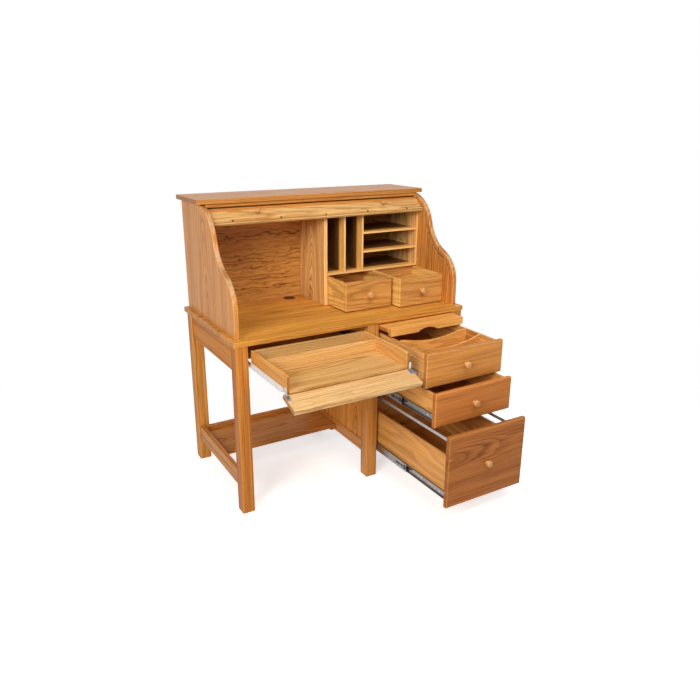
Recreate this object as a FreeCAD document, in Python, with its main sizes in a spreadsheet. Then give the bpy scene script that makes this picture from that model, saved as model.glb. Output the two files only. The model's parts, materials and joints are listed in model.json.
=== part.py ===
import FreeCAD, Part
import Sketcher
import math
import os
import re

# A roll-top desk with its drawers, tray and writing board drawn out.
# Frame: +X to the desk's right, -Y to its front, +Z up, millimetres and degrees.
# Places along Y are counted from the deck's front edge and shifted by ORIGIN_Y when a piece is placed.

SIZES = {
    # Deck, legs and rails
    "deck_width": 1143,
    "deck_depth": 635,
    "deck_thick": 22,
    "deck_height": 762,
    "frame_inset": 5.5,
    "leg_size": 54,
    "leg_setback": 2,
    "leg_back_inset": 25,
    "pedestal_width": 518,
    "apron_height": 112,
    "apron_thick": 20,
    "apron_inset": 6,
    "dust_panel_thick": 6,
    "dust_panel_depth": 400,
    "stretcher_low": 110,
    "stretcher_height": 70,
    "back_stretcher_height": 58,
    "footrest_top": 150,
    "footrest_thick": 20,
    "footrest_depth": 256,
    "footrest_gap": 2,
    "footrest_cleat": 18,
    # Cable grommet in the deck
    "grommet_x": -76,
    "grommet_inset": 36,
    "grommet_hole": 52,
    "grommet_bore": 46,
    "grommet_flange": 60,
    "grommet_rim": 2.5,
    "grommet_clear": 0.2,
    # Pedestal
    "side_inset": 6,
    "side_rail_thick": 22,
    "side_rail_low": 113,
    "side_rail_height": 54,
    "side_top_rail": 80,
    "panel_thick": 6,
    "panel_inset": 7,
    "pedestal_back_thick": 12,
    "pedestal_back_inset": 26,
    "cleat_height": 50,
    # Pedestal drawers
    "drawer_low": 94,
    "reveal": 3,
    "front_gap": 2.5,
    "board_top_gap": 3,
    "middle_front_height": 144.5,
    "top_front_height": 145.5,
    "front_thick": 20,
    "file_open": 509,
    "middle_open": 411,
    "top_open": 345,
    "drawer_back_gap": 10,
    "drawer_side_thick": 12,
    "drawer_bottom_thick": 6,
    "drawer_bottom_rise": 5,
    "box_rise": 17,
    "file_box_rise": 29,
    "box_drop": 7,
    "file_side_drop": 90.5,
    "divider_thick": 9,
    "divider_first": 99.5,
    "divider_pitch": 97,
    "front_scoop_depth": 30,
    "front_scoop_end": 9,
    "back_scoop_depth": 20,
    "back_scoop_end": 27,
    "hang_rail_thick": 3,
    "hang_rail_height": 13,
    "hang_rail_pocket": 63,
    "hang_rail_inset": 3.5,
    "hang_rail_drop": 8,
    # Ball-bearing drawer slides
    "slide_gap": 12.7,
    "slide_height": 40,
    "slide_sheet": 1.2,
    "slide_play": 0.6,
    "slide_flange_short": 2.3,
    "slide_rise": 20.5,
    "slide_setback": 2,
    "top_slide_setback": 50,
    # Writing board
    "board_front_height": 34,
    "board_front_reveal": 7,
    "board_open": 84,
    "board_back_gap": 100,
    "board_thick": 18,
    "board_drop": 3,
    "board_runner": 14,
    "board_runner_play": 0.3,
    "finger_width": 106,
    "finger_depth": 15,
    # Keyboard tray and its fall front
    "tray_open": 341,
    "tray_depth": 327,
    "tray_drop": 88,
    "tray_side_height": 67,
    "tray_side_thick": 12,
    "tray_bottom_thick": 8,
    "tray_slide_gap": 12.5,
    "tray_slide_height": 28,
    "tray_slide_leg": 16,
    "tray_slide_setback": 30,
    "tray_slide_tail": 130,
    "pencil_width": 81,
    "pencil_divider_thick": 9,
    "pencil_divider_height": 49,
    "fall_height": 100,
    "fall_thick": 19,
    "fall_below_pivot": 11,
    "fall_angle": 108,
    "hinge_radius": 3,
    "hinge_sheet": 1.5,
    "hinge_half": 4.7,
    "hinge_arm": 27,
    "hinge_flange": 14,
    "hinge_plate": 29,
    "hinge_lap": 8,
    "hinge_pin": 2.4,
    "hinge_clear": 0.05,
    "hinge_gap": 0.3,
    # Gallery
    "gallery_inset": 17.5,
    "gallery_setback": 32,
    "gallery_back_inset": 21,
    "gallery_height": 495,
    "end_thick": 22,
    "end_round": 5,
    "lower_centre_height": 105,
    "lower_radius": 150,
    "hollow_radius": 190,
    "upper_radius": 170,
    "upper_centre_inset": 171,
    "gallery_top_thick": 20,
    "gallery_top_depth": 286,
    "top_rail_setback": 8,
    "top_rail_thick": 20,
    "top_rail_height": 15,
    "back_panel_thick": 6,
    "back_panel_inset": 12,
    "inner_back_inset": 40,
    "inner_back_drop": 43,
    # Pigeonhole unit
    "pigeon_depth": 246,
    "pigeon_left": 5,
    "pigeon_side_thick": 19,
    "pigeon_thin": 9,
    "pigeon_drop": 77,
    "pigeon_floor_height": 141,
    "slot_width": 88,
    "small_front_thick": 15,
    "small_length": 240,
    "small_side_thick": 9,
    "small_play": 3,
    "small_left_open": 165,
    "small_right_open": 215,
    "small_clear": 0.4,
    "small_floor_thick": 4,
    # Tambour
    "groove_inset": 23,
    "groove_width": 10,
    "groove_depth": 8,
    "slat_width": 20,
    "slat_thick": 8.5,
    "slat_gap": 0.5,
    "slat_end_play": 1,
    "arc_slats": 3,
    "top_slats": 8,
    "rear_slats": 13,
    "rear_slat_drop": 77,
    "rear_slat_play": 0.5,
    "guide_strip": 12,
    "rail_angle": 36,
    "rail_width": 67,
    "rail_thick": 20,
    "rail_band": 22,
    "rail_band_drop": 9,
    "rail_proud": 2,
    "rail_end_play": 1,
    "rail_peg": 8,
    "rail_peg_length": 6,
    "rail_peg_spread": 20,
    "rail_knob_spacing": 636,
    "rail_screw_end": 91,
    "rail_screw_hole": 11.5,
    "rail_screw_depth": 7,
    "rail_screw_head": 10.5,
    "rail_screw_head_thick": 3,
    # Turned knobs
    "knob_size": 27,
    "knob_base": 16,
    "knob_neck": 12,
    "knob_neck_at": 8,
    "knob_head_at": 12,
    "knob_length": 24,
    "knob_round": 5,
    "rail_knob_scale": 0.7,
    # Eased edges
    "leg_round": 3,
    "board_round": 2,
    "front_round": 6,
    "thin_round": 1,
}

RAIL_SCREWS = 5
EDGE_TOLERANCE = 0.001

doc = FreeCAD.newDocument("roll_top_desk")
sheet = doc.addObject("Spreadsheet::Sheet", "sizes")
for row, (alias, value) in enumerate(SIZES.items(), start=1):
    sheet.set(f"A{row}", alias)
    sheet.set(f"B{row}", str(value))
    sheet.setAlias(f"B{row}", alias)
doc.recompute()
size = {alias: float(sheet.get(alias)) for alias in SIZES}

# Shared places, as formulas of the sizes
ORIGIN_Y = "(deck_depth + leg_setback - file_open - knob_length) / 2"
DECK_UNDER = "(deck_height - deck_thick)"
LEG_FRONT = "leg_setback"
LEG_BACK = "(deck_depth - leg_back_inset)"
RAIL_FRONT = "(leg_setback + leg_size)"
RAIL_BACK = "(deck_depth - leg_back_inset - leg_size)"
OUT_LEFT = "(frame_inset - deck_width / 2)"
OUT_RIGHT = "(deck_width / 2 - frame_inset)"
KNEE_LEFT = f"({OUT_LEFT} + leg_size)"
PED_LEFT = f"({OUT_RIGHT} - pedestal_width)"
PED_BACK = f"({LEG_BACK} - pedestal_back_inset - pedestal_back_thick)"
BAY_LEFT = f"({PED_LEFT} + leg_size)"
BAY_RIGHT = f"({OUT_RIGHT} - leg_size)"
BAY_MIDDLE = f"({OUT_RIGHT} - pedestal_width / 2)"
INNER_LEFT = "(gallery_inset + end_thick - deck_width / 2)"
INNER_RIGHT = "(deck_width / 2 - gallery_inset - end_thick)"
GALLERY_BACK = "(deck_depth - gallery_back_inset)"
GALLERY_TOP = "(deck_height + gallery_height)"
INNER_BACK = f"({GALLERY_BACK} - inner_back_inset - back_panel_thick)"

nodes = []
roundings = []


def formula(text):
    """Point every size name in a formula at its cell of the sheet."""
    return re.sub(r"\b[a-z][a-z_]*", lambda word: "sizes." + word.group(0), text)


def place(piece, at, turn=None):
    """Put a piece's own origin at a place, turned first if a rotation is given."""
    if turn:
        piece.Placement = FreeCAD.Placement(FreeCAD.Vector(), turn)
    x, y, z = at
    piece.setExpression("Placement.Base.x", formula(x))
    piece.setExpression("Placement.Base.y", formula(f"{y} - {ORIGIN_Y}"))
    piece.setExpression("Placement.Base.z", formula(z))


def about_x(angle):
    """A turn about the X axis, in degrees."""
    return FreeCAD.Rotation(FreeCAD.Vector(1, 0, 0), angle)


def node(label, *pieces):
    """Name a sub-part: one piece, or a group of separate like pieces."""
    if len(pieces) == 1:
        item = pieces[0]
    else:
        item = doc.addObject("Part::Compound", label)
        item.Links = list(pieces)
    item.Label = label
    nodes.append(item)


def own_sketch(body, plane):
    """A sketch on one of the body's own origin planes."""
    sketch = body.newObject("Sketcher::SketchObject", body.Name + "_outline")
    role = [feature for feature in body.Origin.OriginFeatures if feature.Role == plane]
    sketch.AttachmentSupport = (role[0], "")
    sketch.MapMode = "FlatFace"
    return sketch


def draw_outline(sketch, outline):
    """Draw a closed outline whose corners are pinned to size formulas."""
    count = len(outline)
    turn = 2 * math.pi / count
    start = [FreeCAD.Vector(math.cos(turn * i), math.sin(turn * i), 0) for i in range(count)]
    for i in range(count):
        sketch.addGeometry(Part.LineSegment(start[i], start[(i + 1) % count]))
    for i in range(count):
        sketch.addConstraint(Sketcher.Constraint("Coincident", i, 2, (i + 1) % count, 1))
    for i, corner in enumerate(outline):
        for kind, text in zip(("DistanceX", "DistanceY"), corner):
            pin = sketch.addConstraint(Sketcher.Constraint(kind, -1, 1, i, 1, 1.0))
            sketch.setExpression(f"Constraints[{pin}]", formula(text))


def prism(name, plane, outline, length, at, round_over=None, edges="all", turn=None):
    """Pad an outline square to its plane, along +X, +Y or +Z."""
    body = doc.addObject("PartDesign::Body", name)
    sketch = own_sketch(body, plane)
    draw_outline(sketch, outline)
    pad = body.newObject("PartDesign::Pad", name + "_pad")
    pad.Profile = sketch
    pad.setExpression("Length", formula(length))
    pad.Reversed = plane == "XZ_Plane"
    place(body, at, turn)
    if round_over:
        roundings.append((body, round_over, edges))
    return body


def board(name, x, y, z, round_over="board_round", edges="all"):
    """A board between a low and a high limit on each axis."""
    wide = f"{x[1]} - ({x[0]})"
    deep = f"{y[1]} - ({y[0]})"
    outline = [("0", "0"), (wide, "0"), (wide, deep), ("0", deep)]
    height = f"{z[1]} - ({z[0]})"
    return prism(name, "XY_Plane", outline, height, (x[0], y[0], z[0]), round_over, edges)


def edge_names(shape, which):
    """Edges that run along an axis, those round the front or the far face, or all of them."""
    front = shape.BoundBox.YMin + EDGE_TOLERANCE
    far = shape.BoundBox.YMax - EDGE_TOLERANCE
    names = []
    for number, edge in enumerate(shape.Edges, start=1):
        span = edge.BoundBox
        reach = {"x": span.XLength, "y": span.YLength, "z": span.ZLength}
        chosen = {"all": True, "front": span.YMax < front, "far": span.YMin > far}
        if chosen.get(which) or reach.get(which, -1) >= max(reach.values()):
            names.append(f"Edge{number}")
    return names


def round_boards():
    """Ease the edges of every board that asked for it."""
    doc.recompute()
    for body, radius, edges in roundings:
        pad = body.Tip
        fillet = body.newObject("PartDesign::Fillet", body.Name + "_round")
        fillet.Base = (pad, edge_names(pad.Shape, edges))
        fillet.setExpression("Radius", formula(radius))
        body.Tip = fillet
    doc.recompute()


def turned(name, outline, at, turn=None, scale="1"):
    """Revolve an outline of (radius, distance) formulas about the body's own Y axis."""
    body = doc.addObject("PartDesign::Body", name)
    sketch = own_sketch(body, "XY_Plane")
    draw_outline(sketch, [(f"({u}) * {scale}", f"({v}) * {scale}") for u, v in outline])
    revolution = body.newObject("PartDesign::Revolution", name + "_turning")
    revolution.Profile = sketch
    revolution.ReferenceAxis = (sketch, ["V_Axis"])
    revolution.Angle = 360
    place(body, at, turn)
    return body


def knob(name, at, turn, scale="1"):
    """A turned knob whose flat base is at the given place."""
    outline = [
        ("0", "0"),
        ("knob_base / 2", "0"),
        ("knob_neck / 2", "knob_neck_at"),
        ("knob_size / 2", "knob_head_at"),
        ("knob_size / 2", "knob_length"),
        ("0", "knob_length"),
    ]
    body = turned(name, outline, at, turn, scale)
    roundings.append((body, f"knob_round * {scale}", "far"))
    return body


FACING_FRONT = FreeCAD.Rotation(FreeCAD.Vector(0, 0, 1), 180)


# Frame: deck, legs, aprons, stretchers and footrest

def make_deck():
    deck = board("deck_top", ("-deck_width / 2", "deck_width / 2"), ("0", "deck_depth"),
                 (DECK_UNDER, "deck_height"))
    doc.recompute()
    solid = deck.Shape.Volume
    sketch = deck.newObject("Sketcher::SketchObject", "deck_top_hole")
    role = [feature for feature in deck.Origin.OriginFeatures if feature.Role == "XY_Plane"]
    sketch.AttachmentSupport = (role[0], "")
    sketch.MapMode = "FlatFace"
    sketch.addGeometry(Part.Circle(FreeCAD.Vector(1, 1, 0), FreeCAD.Vector(0, 0, 1), 1))
    grommet_y = f"{INNER_BACK} - grommet_inset"
    pins = [("DistanceX", "deck_width / 2 + grommet_x"), ("DistanceY", grommet_y)]
    for kind, text in pins:
        pin = sketch.addConstraint(Sketcher.Constraint(kind, -1, 1, 0, 3, 1.0))
        sketch.setExpression(f"Constraints[{pin}]", formula(text))
    pin = sketch.addConstraint(Sketcher.Constraint("Diameter", 0, 2.0))
    sketch.setExpression(f"Constraints[{pin}]", formula("grommet_hole"))
    roundings.remove((deck, "board_round", "all"))
    fillet = deck.newObject("PartDesign::Fillet", "deck_top_round")
    fillet.Base = (deck.getObject("deck_top_pad"), edge_names(deck.Shape, "all"))
    fillet.setExpression("Radius", formula("board_round"))
    pocket = deck.newObject("PartDesign::Pocket", "deck_top_cut")
    pocket.Profile = sketch
    pocket.Type = "ThroughAll"
    pocket.Reversed = True
    deck.Tip = pocket
    doc.recompute()
    hole = math.pi / 4 * size["grommet_hole"] ** 2 * size["deck_thick"]
    if deck.Shape.Volume > solid - hole:
        raise RuntimeError("the grommet hole was not cut")
    node("deck_top", deck)
    sleeve = "grommet_hole / 2 - grommet_clear"
    outline = [
        ("grommet_bore / 2", "0"),
        (sleeve, "0"),
        (sleeve, "deck_thick"),
        ("grommet_flange / 2", "deck_thick"),
        ("grommet_flange / 2", "deck_thick + grommet_rim"),
        ("grommet_bore / 2", "deck_thick + grommet_rim"),
    ]
    node("cable_grommet",
         turned("cable_grommet", outline, ("grommet_x", grommet_y, DECK_UNDER), about_x(90)))


def make_legs():
    rows = {"front": (LEG_FRONT, RAIL_FRONT), "back": (RAIL_BACK, LEG_BACK)}
    upright = ("0", DECK_UNDER)

    def leg(name, x, row):
        return board(name, x, rows[row], upright, "leg_round", "all")

    node("left_legs", *[leg(f"left_leg_{row}", (OUT_LEFT, KNEE_LEFT), row) for row in rows])
    columns = {"inner": (PED_LEFT, BAY_LEFT), "outer": (BAY_RIGHT, OUT_RIGHT)}
    posts = [leg(f"post_{side}_{row}", columns[side], row) for side in columns for row in rows]
    node("pedestal_posts", *posts)


def make_rails():
    side_x = (f"{OUT_LEFT} + apron_inset", f"{OUT_LEFT} + apron_inset + apron_thick")
    side_y = (RAIL_FRONT, RAIL_BACK)
    knee_x = (KNEE_LEFT, PED_LEFT)
    apron_z = (f"{DECK_UNDER} - apron_height", DECK_UNDER)
    node("aprons",
         board("left_apron", side_x, side_y, apron_z, "board_round", "y"),
         board("back_apron", knee_x,
               (f"{LEG_BACK} - apron_inset - apron_thick", f"{LEG_BACK} - apron_inset"),
               apron_z, "board_round", "x"))
    node("tray_dust_panel",
         board("tray_dust_panel", (KNEE_LEFT, f"{PED_LEFT} + side_inset + panel_inset"),
               (f"{RAIL_BACK} - dust_panel_depth", RAIL_BACK),
               (apron_z[0], f"{apron_z[0]} + dust_panel_thick"), None))
    node("stretchers",
         board("left_stretcher", side_x, side_y,
               ("stretcher_low", "stretcher_low + stretcher_height"), "board_round", "y"),
         board("back_stretcher", knee_x, (RAIL_BACK, f"{RAIL_BACK} + apron_thick"),
               ("stretcher_low", "stretcher_low + back_stretcher_height"), "board_round", "x"))
    rest_x = (side_x[1], f"{PED_LEFT} + side_inset")
    rest_y = (f"{RAIL_BACK} - footrest_depth", RAIL_BACK)
    middle = f"{RAIL_BACK} - footrest_depth / 2"
    rest_z = ("footrest_top - footrest_thick", "footrest_top")
    node("footrest_boards",
         board("footrest_front_board", rest_x, (rest_y[0], f"{middle} - footrest_gap / 2"), rest_z),
         board("footrest_back_board", rest_x, (f"{middle} + footrest_gap / 2", rest_y[1]), rest_z))
    cleat_y = (f"{rest_y[0]} + footrest_cleat", rest_y[1])
    cleat_z = (f"{rest_z[0]} - footrest_cleat", rest_z[0])
    columns = {"left": (rest_x[0], f"{rest_x[0]} + footrest_cleat"),
               "right": (f"{rest_x[1]} - footrest_cleat", rest_x[1])}
    return [board(f"footrest_cleat_{side}", x, cleat_y, cleat_z, None) for side, x in columns.items()]


def make_pedestal():
    sides = {
        "inner": (f"{PED_LEFT} + side_inset", f"{PED_LEFT} + side_inset + side_rail_thick"),
        "outer": (f"{OUT_RIGHT} - side_inset - side_rail_thick", f"{OUT_RIGHT} - side_inset"),
    }
    panels = {
        "inner": (f"{PED_LEFT} + side_inset + panel_inset",
                  f"{PED_LEFT} + side_inset + panel_inset + panel_thick"),
        "outer": (f"{OUT_RIGHT} - side_inset - panel_inset - panel_thick",
                  f"{OUT_RIGHT} - side_inset - panel_inset"),
    }
    depth = (RAIL_FRONT, RAIL_BACK)
    low = ("side_rail_low", "side_rail_low + side_rail_height")
    high = (f"{DECK_UNDER} - side_top_rail", DECK_UNDER)
    rails = []
    for side, x in sides.items():
        rails.append(board(f"side_bottom_rail_{side}", x, depth, low, "board_round", "y"))
        rails.append(board(f"side_top_rail_{side}", x, depth, high, "board_round", "y"))
    node("pedestal_side_rails", *rails)
    node("pedestal_side_panels",
         *[board(f"side_panel_{side}", x, depth, (low[1], high[0]), None) for side, x in panels.items()])
    bay_x = (BAY_LEFT, BAY_RIGHT)
    back_y = (PED_BACK, f"{PED_BACK} + pedestal_back_thick")
    node("pedestal_back", board("pedestal_back", bay_x, back_y, ("side_rail_low", DECK_UNDER), None))


# Drawer slides: three nested channels on each side of a drawer

def slide_profile(member, side):
    """One channel's outline, measured from the post's face towards the drawer."""
    sheet_step = "(slide_sheet + slide_play)"
    steps = {"outer": "0", "middle": sheet_step, "inner": f"2 * {sheet_step}"}
    half = f"(slide_height / 2 - {steps[member]})"
    web = {"outer": "0", "middle": sheet_step, "inner": "(slide_gap - slide_sheet)"}[member]
    tip = {
        "outer": "(slide_gap - slide_flange_short)",
        "middle": "(slide_gap - slide_flange_short + slide_play)",
        "inner": "(2 * slide_sheet + 3 * slide_play)",
    }[member]
    near, far = (web, f"{web} + slide_sheet")
    if member == "inner":
        near, far = (far, near)
    corners = [
        (near, f"-{half}"),
        (tip, f"-{half}"),
        (tip, f"slide_sheet - {half}"),
        (far, f"slide_sheet - {half}"),
        (far, f"{half} - slide_sheet"),
        (tip, f"{half} - slide_sheet"),
        (tip, half),
        (near, half),
    ]
    sign = "1" if side == "left" else "-1"
    return [(f"({x}) * {sign}", z) for x, z in corners]


def slide_pair(name, member, height, shift, setback):
    """The two like members of one drawer, moved forward by the given formula."""
    faces = {"left": BAY_LEFT, "right": BAY_RIGHT}
    y = f"{LEG_FRONT} + front_thick + {setback} - ({shift})"
    length = f"{DRAWER_LENGTH} - {setback} - slide_setback"
    return [prism(f"{name}_{side}", "XZ_Plane", slide_profile(member, side), length,
                  (faces[side], y, height)) for side in faces]


# Pedestal drawers, from the floor up

DRAWER_LENGTH = f"({PED_BACK} - {LEG_FRONT} - front_thick - drawer_back_gap)"
BOARD_LOW = f"({DECK_UNDER} - board_top_gap - board_front_height)"
TOP_LOW = f"({BOARD_LOW} - front_gap - top_front_height)"
MIDDLE_LOW = f"({TOP_LOW} - front_gap - middle_front_height)"
FILE_HEIGHT = f"({MIDDLE_LOW} - front_gap - drawer_low)"
# Each drawer's lower edge, height, opening, box rise, drop of its sides and setback of its slides
DRAWERS = {
    "file": ("drawer_low", FILE_HEIGHT, "file_open", "file_box_rise", "file_side_drop", "slide_setback"),
    "middle": (MIDDLE_LOW, "middle_front_height", "middle_open", "box_rise", "box_drop", "slide_setback"),
    "top": (TOP_LOW, "top_front_height", "top_open", "box_rise", "box_drop", "top_slide_setback"),
}


def drawer_box(name, x, y, low, side_height, back_height, side_thick):
    """Two sides, a back behind them and a bottom, open to the front board."""
    inside = (f"{x[0]} + {side_thick}", f"{x[1]} - {side_thick}")
    back_y = (f"{y[1]} - {side_thick}", y[1])
    side_y = (y[0], back_y[0])
    side_z = (low, f"{low} + {side_height}")
    bottom_z = (f"{low} + drawer_bottom_rise", f"{low} + drawer_bottom_rise + drawer_bottom_thick")
    return [
        board(f"{name}_side_left", (x[0], inside[0]), side_y, side_z, "thin_round", "y"),
        board(f"{name}_side_right", (inside[1], x[1]), side_y, side_z, "thin_round", "y"),
        board(f"{name}_back", x, back_y, (low, f"{low} + {back_height}"), "thin_round", "x"),
        board(f"{name}_bottom", inside, side_y, bottom_z, None),
    ]


def make_drawers():
    fixed_slides = []
    cleats = []
    for name, (low, height, opened, rise, side_drop, setback) in DRAWERS.items():
        label = f"{name}_drawer"
        front_y = f"{LEG_FRONT} - {opened}"
        box_y = (f"{front_y} + front_thick", f"{front_y} + front_thick + {DRAWER_LENGTH}")
        box_x = (f"{BAY_LEFT} + slide_gap", f"{BAY_RIGHT} - slide_gap")
        box_low = f"{low} + {rise}"
        side_height = f"({height} - {rise} - {side_drop})"
        back_height = f"({height} - {rise} - box_drop)"
        node(f"{label}_box",
             *drawer_box(label, box_x, box_y, box_low, side_height, back_height, "drawer_side_thick"))
        node(f"{label}_front",
             board(f"{label}_front", (f"{BAY_LEFT} + reveal", f"{BAY_RIGHT} - reveal"),
                   (front_y, f"{front_y} + front_thick"), (low, f"{low} + {height}"), "front_round", "front"))
        node(f"{label}_knob",
             knob(f"{label}_knob", (BAY_MIDDLE, front_y, f"{low} + {height} / 2"), FACING_FRONT))
        slide_z = f"{low} + {rise} + slide_rise"
        node(f"{label}_slide_inners", *slide_pair(f"{name}_slide_inner", "inner", slide_z, opened, setback))
        node(f"{label}_slide_middles",
             *slide_pair(f"{name}_slide_middle", "middle", slide_z, f"{opened} / 2", setback))
        fixed_slides += slide_pair(f"{name}_slide_outer", "outer", slide_z, "0", setback)
        cleats += slide_cleats(name, slide_z)
    return fixed_slides, cleats


def slide_cleats(name, slide_z):
    """Strips between the posts that carry the fixed slide members."""
    columns = {
        "left": (f"{PED_LEFT} + side_inset + side_rail_thick", BAY_LEFT),
        "right": (BAY_RIGHT, f"{OUT_RIGHT} - side_inset - side_rail_thick"),
    }
    z = (f"{slide_z} - cleat_height / 2", f"{slide_z} + cleat_height / 2")
    return [board(f"{name}_slide_cleat_{side}", x, (RAIL_FRONT, RAIL_BACK), z, None)
            for side, x in columns.items()]


def scooped(name, x, y, z, scoop_width, scoop_depth, upper, round_over):
    """A board with a shallow arc cut into its upper or lower edge."""
    whole = board(f"{name}_blank", x, y, z, round_over, "y")
    cutter = doc.addObject("Part::Cylinder", f"{name}_scoop")
    radius = f"(({scoop_width}) ^ 2 / 4 + ({scoop_depth}) ^ 2) / (2 * {scoop_depth})"
    cutter.setExpression("Radius", formula(radius))
    cutter.setExpression("Height", formula(f"2 * ({y[1]} - ({y[0]}))"))
    edge = f"{z[1]} - {scoop_depth} + {radius}" if upper else f"{z[0]} + {scoop_depth} - {radius}"
    centre = f"({x[0]} + {x[1]}) / 2"
    place(cutter, (centre, f"{y[0]} + 1.5 * ({y[1]} - ({y[0]}))", edge), about_x(90))
    cut = doc.addObject("Part::Cut", name)
    cut.Base = whole
    cut.Tool = cutter
    return cut


def make_drawer_fittings():
    low, height, opened, rise, side_drop, setback = DRAWERS["top"]
    inside_x = (f"{BAY_LEFT} + slide_gap + drawer_side_thick", f"{BAY_RIGHT} - slide_gap - drawer_side_thick")
    z = (f"{low} + {rise} + drawer_bottom_rise + drawer_bottom_thick", f"{low} + {height} - {side_drop}")
    dividers = []
    for step, row in enumerate(("front", "back")):
        scoop_width = f"{inside_x[1]} - ({inside_x[0]}) - 2 * {row}_scoop_end"
        front = f"{LEG_FRONT} - {opened} + front_thick + divider_first + {step} * divider_pitch"
        dividers.append(scooped(f"top_divider_{step + 1}", inside_x, (front, f"{front} + divider_thick"), z,
                                scoop_width, f"{row}_scoop_depth", True, None))
    node("top_drawer_dividers", *dividers)
    low, height, opened, rise, side_drop, setback = DRAWERS["file"]
    front = f"{LEG_FRONT} - {opened} + front_thick"
    rail_y = (front, f"{front} + {DRAWER_LENGTH} - drawer_side_thick")
    high = f"{low} + {height} - box_drop - hang_rail_drop"
    rail_z = (f"{high} - hang_rail_height", high)
    columns = {"left": f"{BAY_LEFT} + slide_gap + hang_rail_inset",
               "right": f"{BAY_RIGHT} - slide_gap - hang_rail_pocket"}
    node("file_hanging_rails",
         *[board(f"hanging_rail_{side}", (x, f"{x} + hang_rail_thick"), rail_y, rail_z, None)
           for side, x in columns.items()])


def make_writing_board():
    front_y = f"{LEG_FRONT} - board_open"
    front_x = (f"{BAY_LEFT} + board_front_reveal", f"{BAY_RIGHT} - board_front_reveal")
    top = f"{BOARD_LOW} + board_front_height"
    node("writing_board_front",
         scooped("writing_board_front", front_x, (front_y, f"{front_y} + front_thick"), (BOARD_LOW, top),
                 "finger_width", "finger_depth", False, "board_round"))
    under = f"{top} - board_drop - board_thick"
    node("writing_board",
         board("writing_board", (f"{BAY_LEFT} + reveal", f"{BAY_RIGHT} - reveal"),
               (f"{front_y} + front_thick", f"{PED_BACK} - board_back_gap - board_open"),
               (under, f"{top} - board_drop")))
    runner_z = (BOARD_LOW, f"{under} - board_runner_play")
    runner_y = (f"{LEG_FRONT} + front_thick + slide_setback", PED_BACK)
    columns = {"left": (BAY_LEFT, f"{BAY_LEFT} + board_runner"),
               "right": (f"{BAY_RIGHT} - board_runner", BAY_RIGHT)}
    node("writing_board_runners",
         *[board(f"board_runner_{side}", x, runner_y, runner_z, None) for side, x in columns.items()])


# Keyboard tray with its fall front

PIVOT_Y = f"({LEG_FRONT} + fall_thick + hinge_radius - tray_open)"
TRAY_LOW = f"({DECK_UNDER} - tray_drop)"
PIVOT_Z = f"({TRAY_LOW} - hinge_radius - hinge_gap)"
TRAY_FRONT = f"({PIVOT_Y} - hinge_radius + hinge_sheet + hinge_gap)"
TRAY_BACK = f"({TRAY_FRONT} + tray_depth)"
TRAY_X = (f"{KNEE_LEFT} + tray_slide_gap", f"{PED_LEFT} - tray_slide_gap")


def make_tray():
    inside = (f"{TRAY_X[0]} + tray_side_thick", f"{TRAY_X[1]} - tray_side_thick")
    y = (TRAY_FRONT, TRAY_BACK)
    back_y = (f"{TRAY_BACK} - tray_side_thick", TRAY_BACK)
    z = (TRAY_LOW, f"{TRAY_LOW} + tray_side_height")
    node("tray_sides",
         board("tray_side_left", (TRAY_X[0], inside[0]), y, z),
         board("tray_side_right", (inside[1], TRAY_X[1]), y, z))
    node("tray_back", board("tray_back", inside, back_y, z, "board_round", "x"))
    floor = f"{TRAY_LOW} + tray_bottom_thick"
    node("tray_bottom", board("tray_bottom", inside, (y[0], back_y[0]), (TRAY_LOW, floor), None))
    pencil_z = (floor, f"{floor} + pencil_divider_height")
    pencil_y = (f"{back_y[0]} - pencil_width - pencil_divider_thick", f"{back_y[0]} - pencil_width")
    node("pencil_divider", board("pencil_divider", inside, pencil_y, pencil_z, "board_round", "x"))


def tray_slide_profile(member, side):
    """A tray slide member's outline: from the leg's face inwards, and up from the tray's lower edge."""
    inner_web = ("tray_slide_gap - slide_sheet", "tray_slide_gap")
    low = "-2 * slide_sheet - slide_play"
    high = f"{low} + tray_slide_height"
    outer = [
        ("0", low),
        ("tray_slide_gap - 3 * slide_sheet", low),
        ("tray_slide_gap - 3 * slide_sheet", f"{low} + slide_sheet"),
        ("slide_sheet", f"{low} + slide_sheet"),
        ("slide_sheet", f"{high} - slide_sheet"),
        ("tray_slide_gap - 3 * slide_sheet", f"{high} - slide_sheet"),
        ("tray_slide_gap - 3 * slide_sheet", high),
        ("0", high),
    ]
    inner = [
        ("slide_sheet + 2 * slide_play", "-slide_sheet"),
        ("tray_slide_gap + tray_side_thick", "-slide_sheet"),
        ("tray_slide_gap + tray_side_thick", "0"),
        (inner_web[1], "0"),
        (inner_web[1], "tray_slide_leg"),
        (inner_web[0], "tray_slide_leg"),
        (inner_web[0], "0"),
        ("slide_sheet + 2 * slide_play", "0"),
    ]
    sign = "1" if side == "left" else "-1"
    corners = outer if member == "outer" else inner
    return [(f"({x}) * {sign}", z) for x, z in corners]


def make_tray_slides():
    faces = {"left": KNEE_LEFT, "right": PED_LEFT}
    inner_y = f"{TRAY_FRONT} + tray_slide_setback"
    length = "tray_depth - tray_slide_setback + tray_slide_tail"
    runs = {"outer": (f"{inner_y} + tray_open", f"{length} - tray_slide_setback"), "inner": (inner_y, length)}
    made = {}
    for member, (y, run) in runs.items():
        made[member] = [prism(f"tray_slide_{member}_{side}", "XZ_Plane", tray_slide_profile(member, side),
                              run, (faces[side], y, TRAY_LOW)) for side in faces]
    node("tray_slide_inners", *made["inner"])
    behind = (f"{OUT_LEFT} + apron_inset + apron_thick", KNEE_LEFT)
    cleat_z = (f"{TRAY_LOW} - cleat_height / 2", f"{TRAY_LOW} + cleat_height / 2")
    cleat = board("tray_slide_cleat", behind, (RAIL_FRONT, RAIL_BACK), cleat_z, None)
    return made["outer"], cleat


def outward(side, low, length):
    """Where a hinge piece starts along X, told by its place outwards from the tray side's outer face."""
    return low if side == "right" else f"-({low}) - ({length})"


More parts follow.
